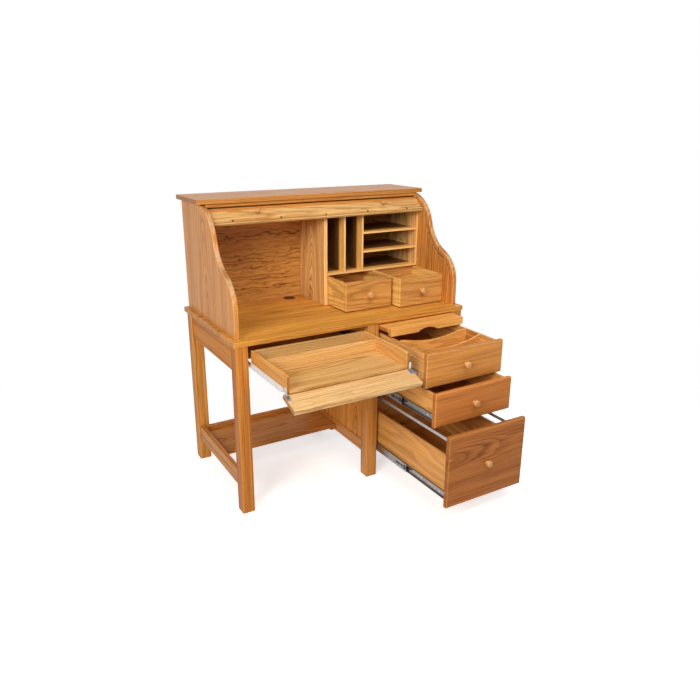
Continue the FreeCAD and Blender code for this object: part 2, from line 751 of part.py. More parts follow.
def hinge_cylinder(name, side, diameter, low, length):
    """A round piece of the hinge along X, on the hinge's own axis."""
    piece = doc.addObject("Part::Cylinder", f"{name}_{side}")
    piece.setExpression("Radius", formula(f"({diameter}) / 2"))
    piece.setExpression("Height", formula(length))
    piece.Placement = FreeCAD.Placement(FreeCAD.Vector(), FreeCAD.Rotation(FreeCAD.Vector(0, 1, 0), 90))
    piece.setExpression("Placement.Base.x", formula(outward(side, low, length)))
    return piece


def hinge_plate(name, side, low, length, y, wide, z, high):
    """A flat part of the hinge, in the hinge's own frame."""
    plate = doc.addObject("Part::Box", f"{name}_{side}")
    for edge, text in zip(("Length", "Width", "Height"), (length, wide, high)):
        plate.setExpression(edge, formula(text))
    for axis, text in zip("xyz", (outward(side, low, length), y, z)):
        plate.setExpression(f"Placement.Base.{axis}", formula(text))
    return plate


def tray_hinge_leaf(side):
    """An arm beside the tray side's front end, a flange on its outer face, a knuckle and the pin."""
    front = "hinge_sheet + hinge_gap - hinge_radius"
    foot = "hinge_radius + hinge_gap"
    rise = f"hinge_arm - ({foot})"
    near_half = "hinge_half - hinge_gap"
    leaf = doc.addObject("Part::MultiFuse", f"tray_hinge_leaf_{side}")
    leaf.Shapes = [
        hinge_cylinder("tray_knuckle", side, "2 * (hinge_radius - hinge_gap)", "0", near_half),
        hinge_cylinder("hinge_pin", side, "hinge_pin", "0", "2 * hinge_half"),
        hinge_plate("tray_neck", side, "0", near_half, front, "hinge_sheet", "0", foot),
        hinge_plate("tray_arm", side, "0", "2 * hinge_half", front, "hinge_sheet", foot, rise),
        hinge_plate("tray_flange", side, "0", "hinge_sheet", front, "hinge_flange", foot, rise),
    ]
    return leaf


def fall_hinge_leaf(side):
    """A plate on the fall front's inner face with the knuckle that turns on the pin."""
    face = "-hinge_radius"
    foot = "hinge_radius + hinge_gap"
    solid = doc.addObject("Part::MultiFuse", f"fall_hinge_solid_{side}")
    solid.Shapes = [
        hinge_cylinder("fall_knuckle", side, "2 * hinge_radius", "hinge_half", "hinge_half"),
        hinge_plate("fall_neck", side, "hinge_half", "hinge_half", face, "hinge_sheet", "0", foot),
        hinge_plate("fall_plate", side, "-hinge_lap", "hinge_lap + 2 * hinge_half", face, "hinge_sheet",
                    foot, f"hinge_plate - ({foot})"),
    ]
    leaf = doc.addObject("Part::Cut", f"fall_hinge_leaf_{side}")
    leaf.Base = solid
    leaf.Tool = hinge_cylinder("fall_bore", side, "hinge_pin + 2 * hinge_clear", "hinge_half - 1",
                               "hinge_half + 2")
    return leaf


def make_hinges():
    """A hinge outside each tray side, whose two leaves meet end to end on one pin, and the fall front."""
    turn = about_x(size["fall_angle"])
    tray_leaves = []
    fall_leaves = []
    for side, x in zip(("left", "right"), TRAY_X):
        tray_leaves.append(tray_hinge_leaf(side))
        place(tray_leaves[-1], (x, PIVOT_Y, PIVOT_Z))
        fall_leaves.append(fall_hinge_leaf(side))
        place(fall_leaves[-1], (x, PIVOT_Y, PIVOT_Z), turn)
    node("tray_hinge_leaves", *tray_leaves)
    node("fall_front_hinge_leaves", *fall_leaves)
    face = "-hinge_radius"
    outer = "-hinge_radius - fall_thick"
    top = "fall_height - fall_below_pivot"
    outline = [(outer, "-fall_below_pivot"), (face, "-fall_below_pivot"), (face, top), (outer, top)]
    wide = f"{PED_LEFT} - {KNEE_LEFT} - 2 * reveal"
    node("fall_front", prism("fall_front", "YZ_Plane", outline, wide,
                             (f"{KNEE_LEFT} + reveal", PIVOT_Y, PIVOT_Z), "board_round", "all", turn))


# Gallery: S-curved ends, top, backs and pigeonholes

def inner_back():
    """Depth of the inner back's face."""
    outer = size["deck_depth"] - size["gallery_back_inset"]
    return outer - size["inner_back_inset"] - size["back_panel_thick"]


def curve_centres():
    """Centres of the three arcs of the S-curve, as (depth, height above the deck)."""
    lower = (size["gallery_setback"] + size["lower_radius"], size["lower_centre_height"])
    upper = (inner_back() - size["upper_centre_inset"], size["gallery_height"] - size["upper_radius"])
    near = size["lower_radius"] + size["hollow_radius"]
    far = size["upper_radius"] + size["hollow_radius"]
    apart = math.dist(lower, upper)
    along = (near ** 2 - far ** 2 + apart ** 2) / (2 * apart)
    across = math.sqrt(near ** 2 - along ** 2)
    step = ((upper[0] - lower[0]) / apart, (upper[1] - lower[1]) / apart)
    hollow = (lower[0] + along * step[0] - across * step[1], lower[1] + along * step[1] + across * step[0])
    return lower, hollow, upper


def towards(centre, target):
    """Unit direction from one point to another."""
    reach = math.dist(centre, target)
    return ((target[0] - centre[0]) / reach, (target[1] - centre[1]) / reach)


def arc(centre, radius, start, end):
    """An arc of under a half turn between two directions from its centre."""
    middle = towards((0, 0), (start[0] + end[0], start[1] + end[1]))
    points = [FreeCAD.Vector(0, centre[0] + radius * u, centre[1] + radius * v)
              for u, v in (start, middle, end)]
    return Part.Arc(*points).toShape()


def s_curve(inset, back):
    """Edges of the S-curve, a distance inside the outline, from the deck up and over to a depth."""
    lower, hollow, upper = curve_centres()
    first = towards(lower, hollow)
    second = towards(upper, hollow)
    front = (-1, 0)
    top = (0, 1)
    edges = [
        arc(lower, size["lower_radius"] - inset, front, first),
        arc(hollow, size["hollow_radius"] + inset, (-first[0], -first[1]), (-second[0], -second[1])),
        arc(upper, size["upper_radius"] - inset, second, top),
    ]
    foot = edges[0].valueAt(edges[0].FirstParameter)
    crown = FreeCAD.Vector(0, upper[0], upper[1] + size["upper_radius"] - inset)
    edges.insert(0, Part.makeLine(FreeCAD.Vector(0, foot.y, 0), foot))
    edges.append(Part.makeLine(crown, FreeCAD.Vector(0, back, crown.z)))
    return edges


def closed_face(edges):
    """A face from edges, in order or not, that make one closed loop."""
    return Part.Face(Part.Wire(Part.__sortEdges__(edges)))


def end_panel(name, inner_high):
    """One gallery end: the S-curve outline, its groove on the inner side and a rounded front edge."""
    thick = size["end_thick"]
    back = size["deck_depth"] - size["gallery_back_inset"]
    outline = s_curve(0, back)
    crown = outline[-1].Vertexes[-1].Point
    heel = FreeCAD.Vector(0, back, 0)
    outline += [Part.makeLine(crown, heel), Part.makeLine(heel, outline[0].Vertexes[0].Point)]
    panel = closed_face(outline).extrude(FreeCAD.Vector(thick, 0, 0))
    half = size["groove_width"] / 2
    outside = s_curve(size["groove_inset"] - half, inner_back())
    inside = s_curve(size["groove_inset"] + half, inner_back())
    ends = [Part.makeLine(outside[0].Vertexes[0].Point, inside[0].Vertexes[0].Point),
            Part.makeLine(outside[-1].Vertexes[-1].Point, inside[-1].Vertexes[-1].Point)]
    groove = closed_face(outside + inside + ends).extrude(FreeCAD.Vector(size["groove_depth"], 0, 0))
    if inner_high:
        groove.translate(FreeCAD.Vector(thick - size["groove_depth"], 0, 0))
    curved = [edge for edge in panel.Edges if on_front_curve(edge, outline[:4])]
    panel = panel.makeFillet(size["end_round"], curved).cut(groove)
    feature = doc.addObject("Part::Feature", name)
    feature.Shape = panel
    x = f"{INNER_LEFT} - end_thick" if inner_high else INNER_RIGHT
    place(feature, (x, "0", "deck_height"))
    node(name, feature)


def on_front_curve(edge, front_edges):
    """Whether an edge of the panel follows one of the front outline's edges."""
    if abs(edge.Vertexes[0].X - edge.Vertexes[-1].X) > EDGE_TOLERANCE:
        return False
    middle = edge.valueAt((edge.FirstParameter + edge.LastParameter) / 2)
    flat = Part.Vertex(FreeCAD.Vector(0, middle.y, middle.z))
    return min(flat.distToShape(front)[0] for front in front_edges) < EDGE_TOLERANCE


def make_gallery():
    end_panel("gallery_end_left", True)
    end_panel("gallery_end_right", False)
    top_z = (GALLERY_TOP, f"{GALLERY_TOP} + gallery_top_thick")
    top_front = "(deck_depth - gallery_top_depth)"
    inner_x = (INNER_LEFT, INNER_RIGHT)
    node("gallery_top",
         board("gallery_top", ("-deck_width / 2", "deck_width / 2"), (top_front, "deck_depth"), top_z))
    rail_front = f"{top_front} + top_rail_setback"
    node("gallery_top_rail",
         board("gallery_top_rail", inner_x, (rail_front, f"{rail_front} + top_rail_thick"),
               (f"{GALLERY_TOP} - top_rail_height", GALLERY_TOP), "board_round", "x"))
    outer_back = (f"{GALLERY_BACK} - back_panel_inset - back_panel_thick",
                  f"{GALLERY_BACK} - back_panel_inset")
    node("gallery_back", board("gallery_back", inner_x, outer_back, ("deck_height", GALLERY_TOP), None))
    node("gallery_inner_back",
         board("gallery_inner_back", inner_x, (INNER_BACK, f"{INNER_BACK} + back_panel_thick"),
               ("deck_height", f"{GALLERY_TOP} - inner_back_drop"), None))


PIGEON_FRONT = f"({INNER_BACK} - pigeon_depth)"
PIGEON_FLOOR = "(deck_height + pigeon_floor_height)"
SMALL_FLOOR = "(deck_height + small_floor_thick)"
PIGEON_TOP = f"({GALLERY_TOP} - pigeon_drop)"


def make_pigeonholes():
    depth = (PIGEON_FRONT, INNER_BACK)
    first = "(pigeon_left + pigeon_side_thick)"
    lining = f"({INNER_RIGHT} - pigeon_thin)"
    floor_top = f"{PIGEON_FLOOR} + pigeon_thin"
    upper_z = (floor_top, f"{PIGEON_TOP} - pigeon_thin")
    node("pigeonhole_sides",
         board("pigeonhole_left_side", ("pigeon_left", first), depth, ("deck_height", PIGEON_TOP)),
         board("pigeonhole_right_lining", (lining, INNER_RIGHT), depth, upper_z, "thin_round"))
    dividers = []
    for step in range(2):
        x = f"{first} + {step + 1} * slot_width + {step} * pigeon_thin"
        dividers.append(board(f"pigeonhole_divider_{step + 1}", (x, f"{x} + pigeon_thin"), depth, upper_z,
                              "thin_round"))
    partition = f"(({first} + {INNER_RIGHT} - pigeon_thin) / 2)"
    dividers.append(board("small_drawer_partition", (partition, f"{partition} + pigeon_thin"), depth,
                          (SMALL_FLOOR, PIGEON_FLOOR), "thin_round"))
    node("pigeonhole_dividers", *dividers)
    letters = f"{first} + 2 * slot_width + 2 * pigeon_thin"
    shelves = [
        board("pigeonhole_floor", (first, INNER_RIGHT), depth, (PIGEON_FLOOR, floor_top), "thin_round"),
        board("pigeonhole_top", (first, INNER_RIGHT), depth, (upper_z[1], PIGEON_TOP), "thin_round"),
        board("small_drawer_floor", (first, INNER_RIGHT), depth, ("deck_height", SMALL_FLOOR), "thin_round"),
    ]
    space = f"({upper_z[1]} - ({upper_z[0]}) - 2 * pigeon_thin) / 3"
    for step in range(2):
        z = f"{floor_top} + {step + 1} * {space} + {step} * pigeon_thin"
        shelves.append(board(f"letter_shelf_{step + 1}", (letters, lining), depth, (z, f"{z} + pigeon_thin"),
                             "thin_round"))
    node("pigeonhole_shelves", *shelves)
    make_small_drawer("left", (first, partition), "small_left_open")
    make_small_drawer("right", (f"{partition} + pigeon_thin", INNER_RIGHT), "small_right_open")


def make_small_drawer(side, opening, opened):
    """A small drawer that runs on its thin floor, between two uprights."""
    label = f"small_drawer_{side}"
    x = (f"{opening[0]} + small_play", f"{opening[1]} - small_play")
    front_y = f"{PIGEON_FRONT} - {opened}"
    box_y = (f"{front_y} + small_front_thick", f"{front_y} + small_length")
    low = f"{SMALL_FLOOR} + small_clear"
    height = "(pigeon_floor_height - small_floor_thick - small_play - small_clear)"
    front = board(f"{label}_front", x, (front_y, box_y[0]), (low, f"{low} + {height}"), "board_round")
    side_height = f"({height} - thin_round)"
    node(f"{label}_box",
         front, *drawer_box(label, x, box_y, low, side_height, side_height, "small_side_thick"))
    node(f"{label}_knob",
         knob(f"{label}_knob", (f"({x[0]} + {x[1]}) / 2", front_y, f"{low} + {height} / 2"), FACING_FRONT))


# Tambour: lead rail and slats

def on_track(angle, radius):
    """Depth and height of a point at an angle from the top of the upper arc."""
    lower, hollow, upper = curve_centres()
    turn = math.radians(angle)
    return upper[0] - radius * math.sin(turn), size["deck_height"] + upper[1] + radius * math.cos(turn)


def slat(name, length, y, z, angle):
    """One slat with a rounded outer face, turned about its own length."""
    half = "slat_width / 2"
    edge = "slat_thick / 2"
    outline = [
        (f"-{half}", f"-{edge}"),
        (half, f"-{edge}"),
        (half, "0"),
        (f"{half} - {edge}", edge),
        (f"{edge} - {half}", edge),
        (f"-{half}", "0"),
    ]
    return prism(name, "YZ_Plane", outline, length, (f"-({length}) / 2", f"{y}", f"{z}"), turn=about_x(angle))


def make_lead_rail():
    angle = size["rail_angle"]
    track = size["upper_radius"] - size["groove_inset"]
    y, z = on_track(angle, track + size["rail_proud"])
    half = "rail_width / 2"
    length = f"{INNER_RIGHT} - {INNER_LEFT} - 2 * rail_end_play"
    outline = [
        (half, "0"),
        (half, "-rail_thick"),
        (f"-{half}", "-rail_thick"),
        (f"-{half}", "-rail_band_drop"),
        (f"rail_band - {half}", "0"),
    ]
    stock = prism("lead_rail_stock", "YZ_Plane", outline, length, (f"-({length}) / 2", f"{y}", f"{z}"),
                  "board_round", "x", about_x(angle))
    pieces = [stock]
    for step in (-1, 1):
        peg_y, peg_z = on_track(angle + step * size["rail_peg_spread"] / 2, track)
        peg = doc.addObject("Part::Cylinder", f"lead_rail_peg_{step + 1}")
        peg.setExpression("Radius", formula("rail_peg / 2"))
        peg.setExpression("Height", formula(f"{length} + 2 * rail_end_play + 2 * rail_peg_length"))
        place(peg, (f"{INNER_LEFT} - rail_peg_length", f"{peg_y}", f"{peg_z}"),
              FreeCAD.Rotation(FreeCAD.Vector(0, 1, 0), 90))
        pieces.append(peg)
    whole = doc.addObject("Part::MultiFuse", "lead_rail_whole")
    whole.Shapes = pieces
    drop = math.degrees(math.atan2(size["rail_band_drop"], size["rail_band"]))
    facing = about_x(angle + drop)
    out = facing.multVec(FreeCAD.Vector(0, 0, 1))
    along = (size["rail_width"] - size["rail_band"]) / 2
    seat = about_x(angle).multVec(FreeCAD.Vector(0, -along, -size["rail_band_drop"] / 2))
    holes = []
    screws = []
    for step in range(RAIL_SCREWS):
        x = f"({INNER_RIGHT} - rail_end_play - rail_screw_end) * {2 * step / (RAIL_SCREWS - 1) - 1}"
        hole = doc.addObject("Part::Cylinder", f"rail_screw_hole_{step + 1}")
        hole.setExpression("Radius", formula("rail_screw_hole / 2"))
        hole.setExpression("Height", formula("2 * rail_screw_depth"))
        sunk = seat - out * size["rail_screw_depth"]
        place(hole, (x, f"{y + sunk.y}", f"{z + sunk.z}"), facing)
        holes.append(hole)
        screw = doc.addObject("Part::Cylinder", f"rail_screw_{step + 1}")
        screw.setExpression("Radius", formula("rail_screw_head / 2"))
        screw.setExpression("Height", formula("rail_screw_head_thick"))
        place(screw, (x, f"{y + sunk.y}", f"{z + sunk.z}"), facing)
        screws.append(screw)
    drilled = doc.addObject("Part::MultiFuse", "rail_screw_holes")
    drilled.Shapes = holes
    rail = doc.addObject("Part::Cut", "tambour_lead_rail")
    rail.Base = whole
    rail.Tool = drilled
    node("tambour_lead_rail", rail)
    node("tambour_rail_screws", *screws)
    knobs = []
    shift = size["rail_band"] / 2
    face = about_x(angle).multVec(FreeCAD.Vector(0, shift, 0))
    for step in (-1, 1):
        knobs.append(knob(f"tambour_knob_{step + 1}",
                          (f"{step} * rail_knob_spacing / 2", f"{y + face.y}", f"{z + face.z}"),
                          about_x(90 + angle), "rail_knob_scale"))
    node("tambour_knobs", *knobs)


def make_slats():
    track = size["upper_radius"] - size["groove_inset"]
    pitch = size["slat_width"]
    inner = track - size["slat_thick"] / 2
    half_step = math.degrees(math.atan(pitch / 2 / inner))
    rail_half = math.degrees(math.asin(size["rail_width"] / 2 / math.hypot(inner, pitch / 2)))
    first = size["rail_angle"] - rail_half - half_step
    grooved = f"{INNER_RIGHT} - {INNER_LEFT} + 2 * rail_peg_length"
    plain = f"{INNER_RIGHT} - {INNER_LEFT} - 2 * slat_end_play"
    arc_slats = []
    for step in range(int(size["arc_slats"])):
        angle = first - step * 2 * half_step
        y, z = on_track(angle, track)
        arc_slats.append(slat(f"arc_slat_{step + 1}", grooved, y, z, angle))
    node("tambour_slats", *arc_slats)
    last = first - (2 * size["arc_slats"] - 1) * half_step
    start = on_track(last, track)[0] + size["slat_gap"] + pitch / 2
    level = on_track(0, track)[1]
    top_slats = [slat(f"top_slat_{step + 1}", plain, start + step * pitch, level, 0)
                 for step in range(int(size["top_slats"]))]
    node("tambour_top_slats", *top_slats)
    highest = size["deck_height"] + size["gallery_height"] - size["rear_slat_drop"] - pitch / 2
    rear = f"{REAR_TRACK} + slat_thick / 2"
    rear_slats = [slat(f"rear_slat_{step + 1}", plain, rear, highest - step * pitch, -90)
                  for step in range(int(size["rear_slats"]))]
    node("tambour_rear_slats", *rear_slats)
    lowest = highest - size["rear_slats"] * pitch
    return start, level, lowest, highest


GUIDE_BACK = f"({INNER_BACK} + back_panel_thick + guide_strip)"
REAR_TRACK = f"({GUIDE_BACK} + rear_slat_play)"


def make_guides(start, level, lowest, highest):
    """Strips on the gallery ends that carry the slats over the top and down the back."""
    columns = {"left": (INNER_LEFT, f"{INNER_LEFT} + guide_strip"),
               "right": (f"{INNER_RIGHT} - guide_strip", INNER_RIGHT)}
    seat = f"{level} - slat_thick / 2 - rear_slat_play"
    strips = []
    for side, x in columns.items():
        strips.append(board(f"top_guide_{side}", x, (f"{start}", INNER_BACK),
                            (f"{seat} - guide_strip", seat), None))
        strips.append(board(f"rear_guide_{side}", x, (f"{INNER_BACK} + back_panel_thick", GUIDE_BACK),
                            (f"{lowest}", f"{highest} + slat_width / 2"), None))
    return strips


def make_desk():
    make_deck()
    make_legs()
    rests = make_rails()
    make_pedestal()
    fixed_slides, cleats = make_drawers()
    make_drawer_fittings()
    make_writing_board()
    make_tray()
    tray_outers, tray_cleat = make_tray_slides()
    make_hinges()
    make_gallery()
    make_pigeonholes()
    make_lead_rail()
    guides = make_guides(*make_slats())
    node("slide_outers", *fixed_slides, *tray_outers)
    node("support_cleats", *cleats, tray_cleat, *rests, *guides)
    round_boards()


def check_and_write():
    """Stop on any failed object, then write each sub-part to its own file."""
    failed = [item.Label for item in doc.Objects if {"Invalid", "Error"} & set(item.State)]
    broken = [item.Label for item in nodes if item.Shape.isNull() or not item.Shape.isValid()]
    if failed or broken:
        raise RuntimeError(f"failed: {failed} broken: {broken}")
    os.makedirs("parts", exist_ok=True)
    for item in nodes:
        item.Shape.exportStep(f"parts/{item.Label}.step")
    print(f"{len(nodes)} sub-parts, {sum(len(item.Shape.Solids) for item in nodes)} solids")


make_desk()
check_and_write()
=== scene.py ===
"""Looks of an oak roll-top desk: stained boards, pale fall front, steel slides, studio floor and light."""

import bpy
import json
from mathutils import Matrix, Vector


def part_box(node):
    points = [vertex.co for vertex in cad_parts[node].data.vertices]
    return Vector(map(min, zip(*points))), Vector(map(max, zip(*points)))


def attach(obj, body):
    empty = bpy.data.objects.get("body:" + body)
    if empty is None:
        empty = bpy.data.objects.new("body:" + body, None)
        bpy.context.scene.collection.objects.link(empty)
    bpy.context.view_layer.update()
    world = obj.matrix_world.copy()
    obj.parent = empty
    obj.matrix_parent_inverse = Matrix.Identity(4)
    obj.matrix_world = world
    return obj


bl_info = {
    "name": "Oak roll-top desk looks",
    "version": (1, 0, 0),
    "blender": (4, 5, 0),
    "location": "3D View > Sidebar > Desk",
    "description": "Finishes the boards, knobs and slides of the desk and sets its studio",
    "category": "Object",
}

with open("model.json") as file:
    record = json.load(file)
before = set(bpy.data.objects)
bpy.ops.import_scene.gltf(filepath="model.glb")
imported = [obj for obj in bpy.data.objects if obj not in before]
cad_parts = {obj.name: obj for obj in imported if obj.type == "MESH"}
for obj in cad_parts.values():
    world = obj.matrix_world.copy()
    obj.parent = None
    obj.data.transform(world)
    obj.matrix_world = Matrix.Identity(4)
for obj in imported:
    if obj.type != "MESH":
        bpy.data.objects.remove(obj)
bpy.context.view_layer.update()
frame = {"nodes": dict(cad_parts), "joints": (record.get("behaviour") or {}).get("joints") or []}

import json
import math

import bmesh
import bpy
from mathutils import Matrix, Vector

NODES = frame["nodes"]

# Grain directions: the order in which a point's x, y and z become along, across and depth
ALONG_X_FLAT = ("X", "Y", "Z")
ALONG_X_FRONT = ("X", "Z", "Y")
ALONG_Y_SIDE = ("Y", "Z", "X")
ALONG_Y_FLAT = ("Y", "X", "Z")
ALONG_Z_SIDE = ("Z", "Y", "X")
ALONG_Z_FRONT = ("Z", "X", "Y")

# On jointed boxes each face tells its own direction
BY_FACE = None

# Tall pointed arches of a plain-sawn panel
CATHEDRAL = {"Heart Depth": 0.05, "Taper": 0.12, "Ring Width": 0.006, "Wild": 0.002, "Figure": 0.85}

# Past this distance along the given axis, a node's second board gets painted light, standing in for light it
# gets too little of
FAR_BOARD_GAP = 0.1

# Where two boards of one node are cut alike: how far before its far face the second cut starts
PANEL_FOLD = 0.006
LINING_FOLD = 0.012

# A cut starts this far above nought, so that no face lies on a fold
FOLD_START = 0.001

# Gloss of a board that isn't kept duller, and roughness of its lacquer
SATIN = 0.16
LACQUER_ROUGHNESS = 0.2

# Strength and depth of the grain's relief, and depth of the relief of sheet metal and mouldings
GRAIN_STRENGTH = 0.35
GRAIN_RELIEF = 0.0004
FINE_RELIEF = 0.0002

# Share of pale wood in the painted highlight on faces that look forward and that wood's tone, and tone of
# the painted shade far inside a pigeonhole
HIGHLIGHT_SHARE = 0.75
HIGHLIGHT_TONE = 1.25
PAINTED_SHADE_TONE = 0.7

# The boards' seeds step through a fixed number of values
SEED_STEP = 17
SEED_COUNT = 41

# Share of a plate's thickness that the bevel of its rim takes
PLATE_EASE = 0.3

WHITE = (1.0, 1.0, 1.0, 1.0)
WARM_WHITE = (1.0, 0.98, 0.96, 1.0)
SENSOR_WIDTH = 36.0
DRAWERS = ("top", "middle", "file")

# Lamps of the studio: place, width, and whether lacquer and metal mirror them
LAMP_AIM = (0.0, 0.0, 0.65)
LAMPS = {
    "key": ((-3.2, -2.2, 2.3), 1.8, True),
    "top": ((-0.3, -1.7, 3.1), 2.2, True),
    "fill": ((2.4, -2.2, 1.6), 1.6, True),
    "back": ((0.6, 3.4, 2.0), 2.4, False),
    "side": ((3.5, 0.7, 1.4), 2.4, False),
}

# Kinds of shader group sockets
VECTOR = "NodeSocketVector"
COLOUR = "NodeSocketColor"
VALUE = "NodeSocketFloat"


class DeskFinish(bpy.types.PropertyGroup):
    """Colours and figure of the finishes."""

    light: bpy.props.FloatVectorProperty(
        name="Light wood", description="Late wood of the stained oak", subtype="COLOR", size=4,
        default=(0.64, 0.262, 0.054, 1.0))
    dark: bpy.props.FloatVectorProperty(
        name="Dark wood", description="Early wood of the stained oak", subtype="COLOR", size=4,
        default=(0.29, 0.086, 0.0135, 1.0))
    red_light: bpy.props.FloatVectorProperty(
        name="Red wood", description="Late wood of the two lower drawer fronts", subtype="COLOR", size=4,
        default=(0.60, 0.205, 0.044, 1.0))
    red_dark: bpy.props.FloatVectorProperty(
        name="Red wood grain", description="Early wood of the two lower drawer fronts", subtype="COLOR",
        size=4, default=(0.27, 0.068, 0.012, 1.0))
    ruddy_light: bpy.props.FloatVectorProperty(
        name="Ruddy wood", description="Late wood of the legs and aprons", subtype="COLOR", size=4,
        default=(0.63, 0.235, 0.044, 1.0))
    ruddy_dark: bpy.props.FloatVectorProperty(
        name="Ruddy wood grain", description="Early wood of the legs and aprons", subtype="COLOR", size=4,
        default=(0.27, 0.074, 0.0105, 1.0))
    gold_light: bpy.props.FloatVectorProperty(
        name="Golden wood", description="Late wood of the deck", subtype="COLOR", size=4,
        default=(0.63, 0.282, 0.046, 1.0))
    gold_dark: bpy.props.FloatVectorProperty(
        name="Golden wood grain", description="Early wood of the deck", subtype="COLOR", size=4,
        default=(0.285, 0.093, 0.0115, 1.0))
    honey_light: bpy.props.FloatVectorProperty(
        name="Honey wood", description="Late wood of the boxes, writing board, tray sides and gallery backs",
        subtype="COLOR", size=4, default=(0.67, 0.318, 0.078, 1.0))
    honey_dark: bpy.props.FloatVectorProperty(
        name="Honey wood grain", description="Early wood of the boxes, writing board and tray sides",
        subtype="COLOR", size=4, default=(0.33, 0.115, 0.021, 1.0))
    cream_light: bpy.props.FloatVectorProperty(
        name="Cream wood", description="Late wood of the fall front", subtype="COLOR", size=4,
        default=(0.75, 0.51, 0.24, 1.0))
    # Painted light: the divider wood is paler than the oak's own colour, standing in for light that the
    # pigeonholes and the dust panel get too little of
    lit_light: bpy.props.FloatVectorProperty(
        name="Divider wood", description="Late wood of the pigeonhole boards and dust panel",
        subtype="COLOR", size=4, default=(0.93, 0.50, 0.135, 1.0))
    lit_dark: bpy.props.FloatVectorProperty(
        name="Divider wood grain", description="Early wood of the pigeonhole boards and dust panel",
        subtype="COLOR", size=4, default=(0.60, 0.26, 0.055, 1.0))
    pore: bpy.props.FloatVectorProperty(
        name="Pores", description="Stain held in the open pores", subtype="COLOR", size=4,
        default=(0.10, 0.027, 0.005, 1.0))
    end_grain: bpy.props.FloatVectorProperty(
        name="End grain", description="Sawn ends, which drink more stain", subtype="COLOR", size=4,
        default=(0.24, 0.075, 0.012, 1.0))
    pale_light: bpy.props.FloatVectorProperty(
        name="Pale wood", description="Late wood of the tray, lead rail, pigeonhole sides and eased edges",
        subtype="COLOR", size=4, default=(0.74, 0.44, 0.160, 1.0))
    pale_dark: bpy.props.FloatVectorProperty(
        name="Pale wood grain",
        description="Early wood of the tray, fall front, lead rail and pigeonhole sides",
        subtype="COLOR", size=4, default=(0.47, 0.205, 0.047, 1.0))
    # Painted sheen: a greyish colour that stands in for the light the gallery ends' curved edges reflect
    painted_edge_sheen: bpy.props.FloatVectorProperty(
        name="Worn edge", description="Rubbed lacquer on the gallery ends' curved edges", subtype="COLOR",
        size=4, default=(0.44, 0.36, 0.235, 1.0))
    knob: bpy.props.FloatVectorProperty(
        name="Knob wood", description="Turned knobs", subtype="COLOR", size=4,
        default=(0.74, 0.37, 0.13, 1.0))
    steel: bpy.props.FloatVectorProperty(
        name="Slide steel", description="Zinc-plated slides", subtype="COLOR", size=4,
        default=(0.35, 0.35, 0.35, 1.0))
    enamel: bpy.props.FloatVectorProperty(
        name="Slide enamel", description="White enamel of the tray slides", subtype="COLOR", size=4,
        default=(0.74, 0.73, 0.70, 1.0))
    # The nylon colour also paints the shade seen through the slide slots
    nylon: bpy.props.FloatVectorProperty(
        name="Nylon", description="Black levers, bumpers and slots of the slides", subtype="COLOR", size=4,
        default=(0.012, 0.012, 0.013, 1.0))
    # Painted shade in part: the screw heads are near black so that the counterbores read dark, as the shade
    # in them does
    screw_black_and_shade: bpy.props.FloatVectorProperty(
        name="Blackened steel", description="Screws of the lead rail and hinges", subtype="COLOR", size=4,
        default=(0.030, 0.014, 0.008, 1.0))
    grommet: bpy.props.FloatVectorProperty(
        name="Brown plastic", description="Cable grommet", subtype="COLOR", size=4,
        default=(0.20, 0.055, 0.018, 1.0))
    # Painted shade: where the painted shadow inside the pigeonholes starts and how far it grows
    painted_shade_start: bpy.props.FloatProperty(
        name="Lit front", description="Depth of the pigeonholes that stays light", unit="LENGTH",
        default=0.036)
    painted_shade_reach: bpy.props.FloatProperty(
        name="Dark inside", description="Depth over which the pigeonholes then grow dark", unit="LENGTH",
        default=0.022)
    ring_width: bpy.props.FloatProperty(
        name="Ring width", description="Width of one year's growth", unit="LENGTH", default=0.009)
    coat: bpy.props.FloatProperty(
        name="Lacquer", description="Weight of the clear satin coat", subtype="FACTOR", default=0.06)


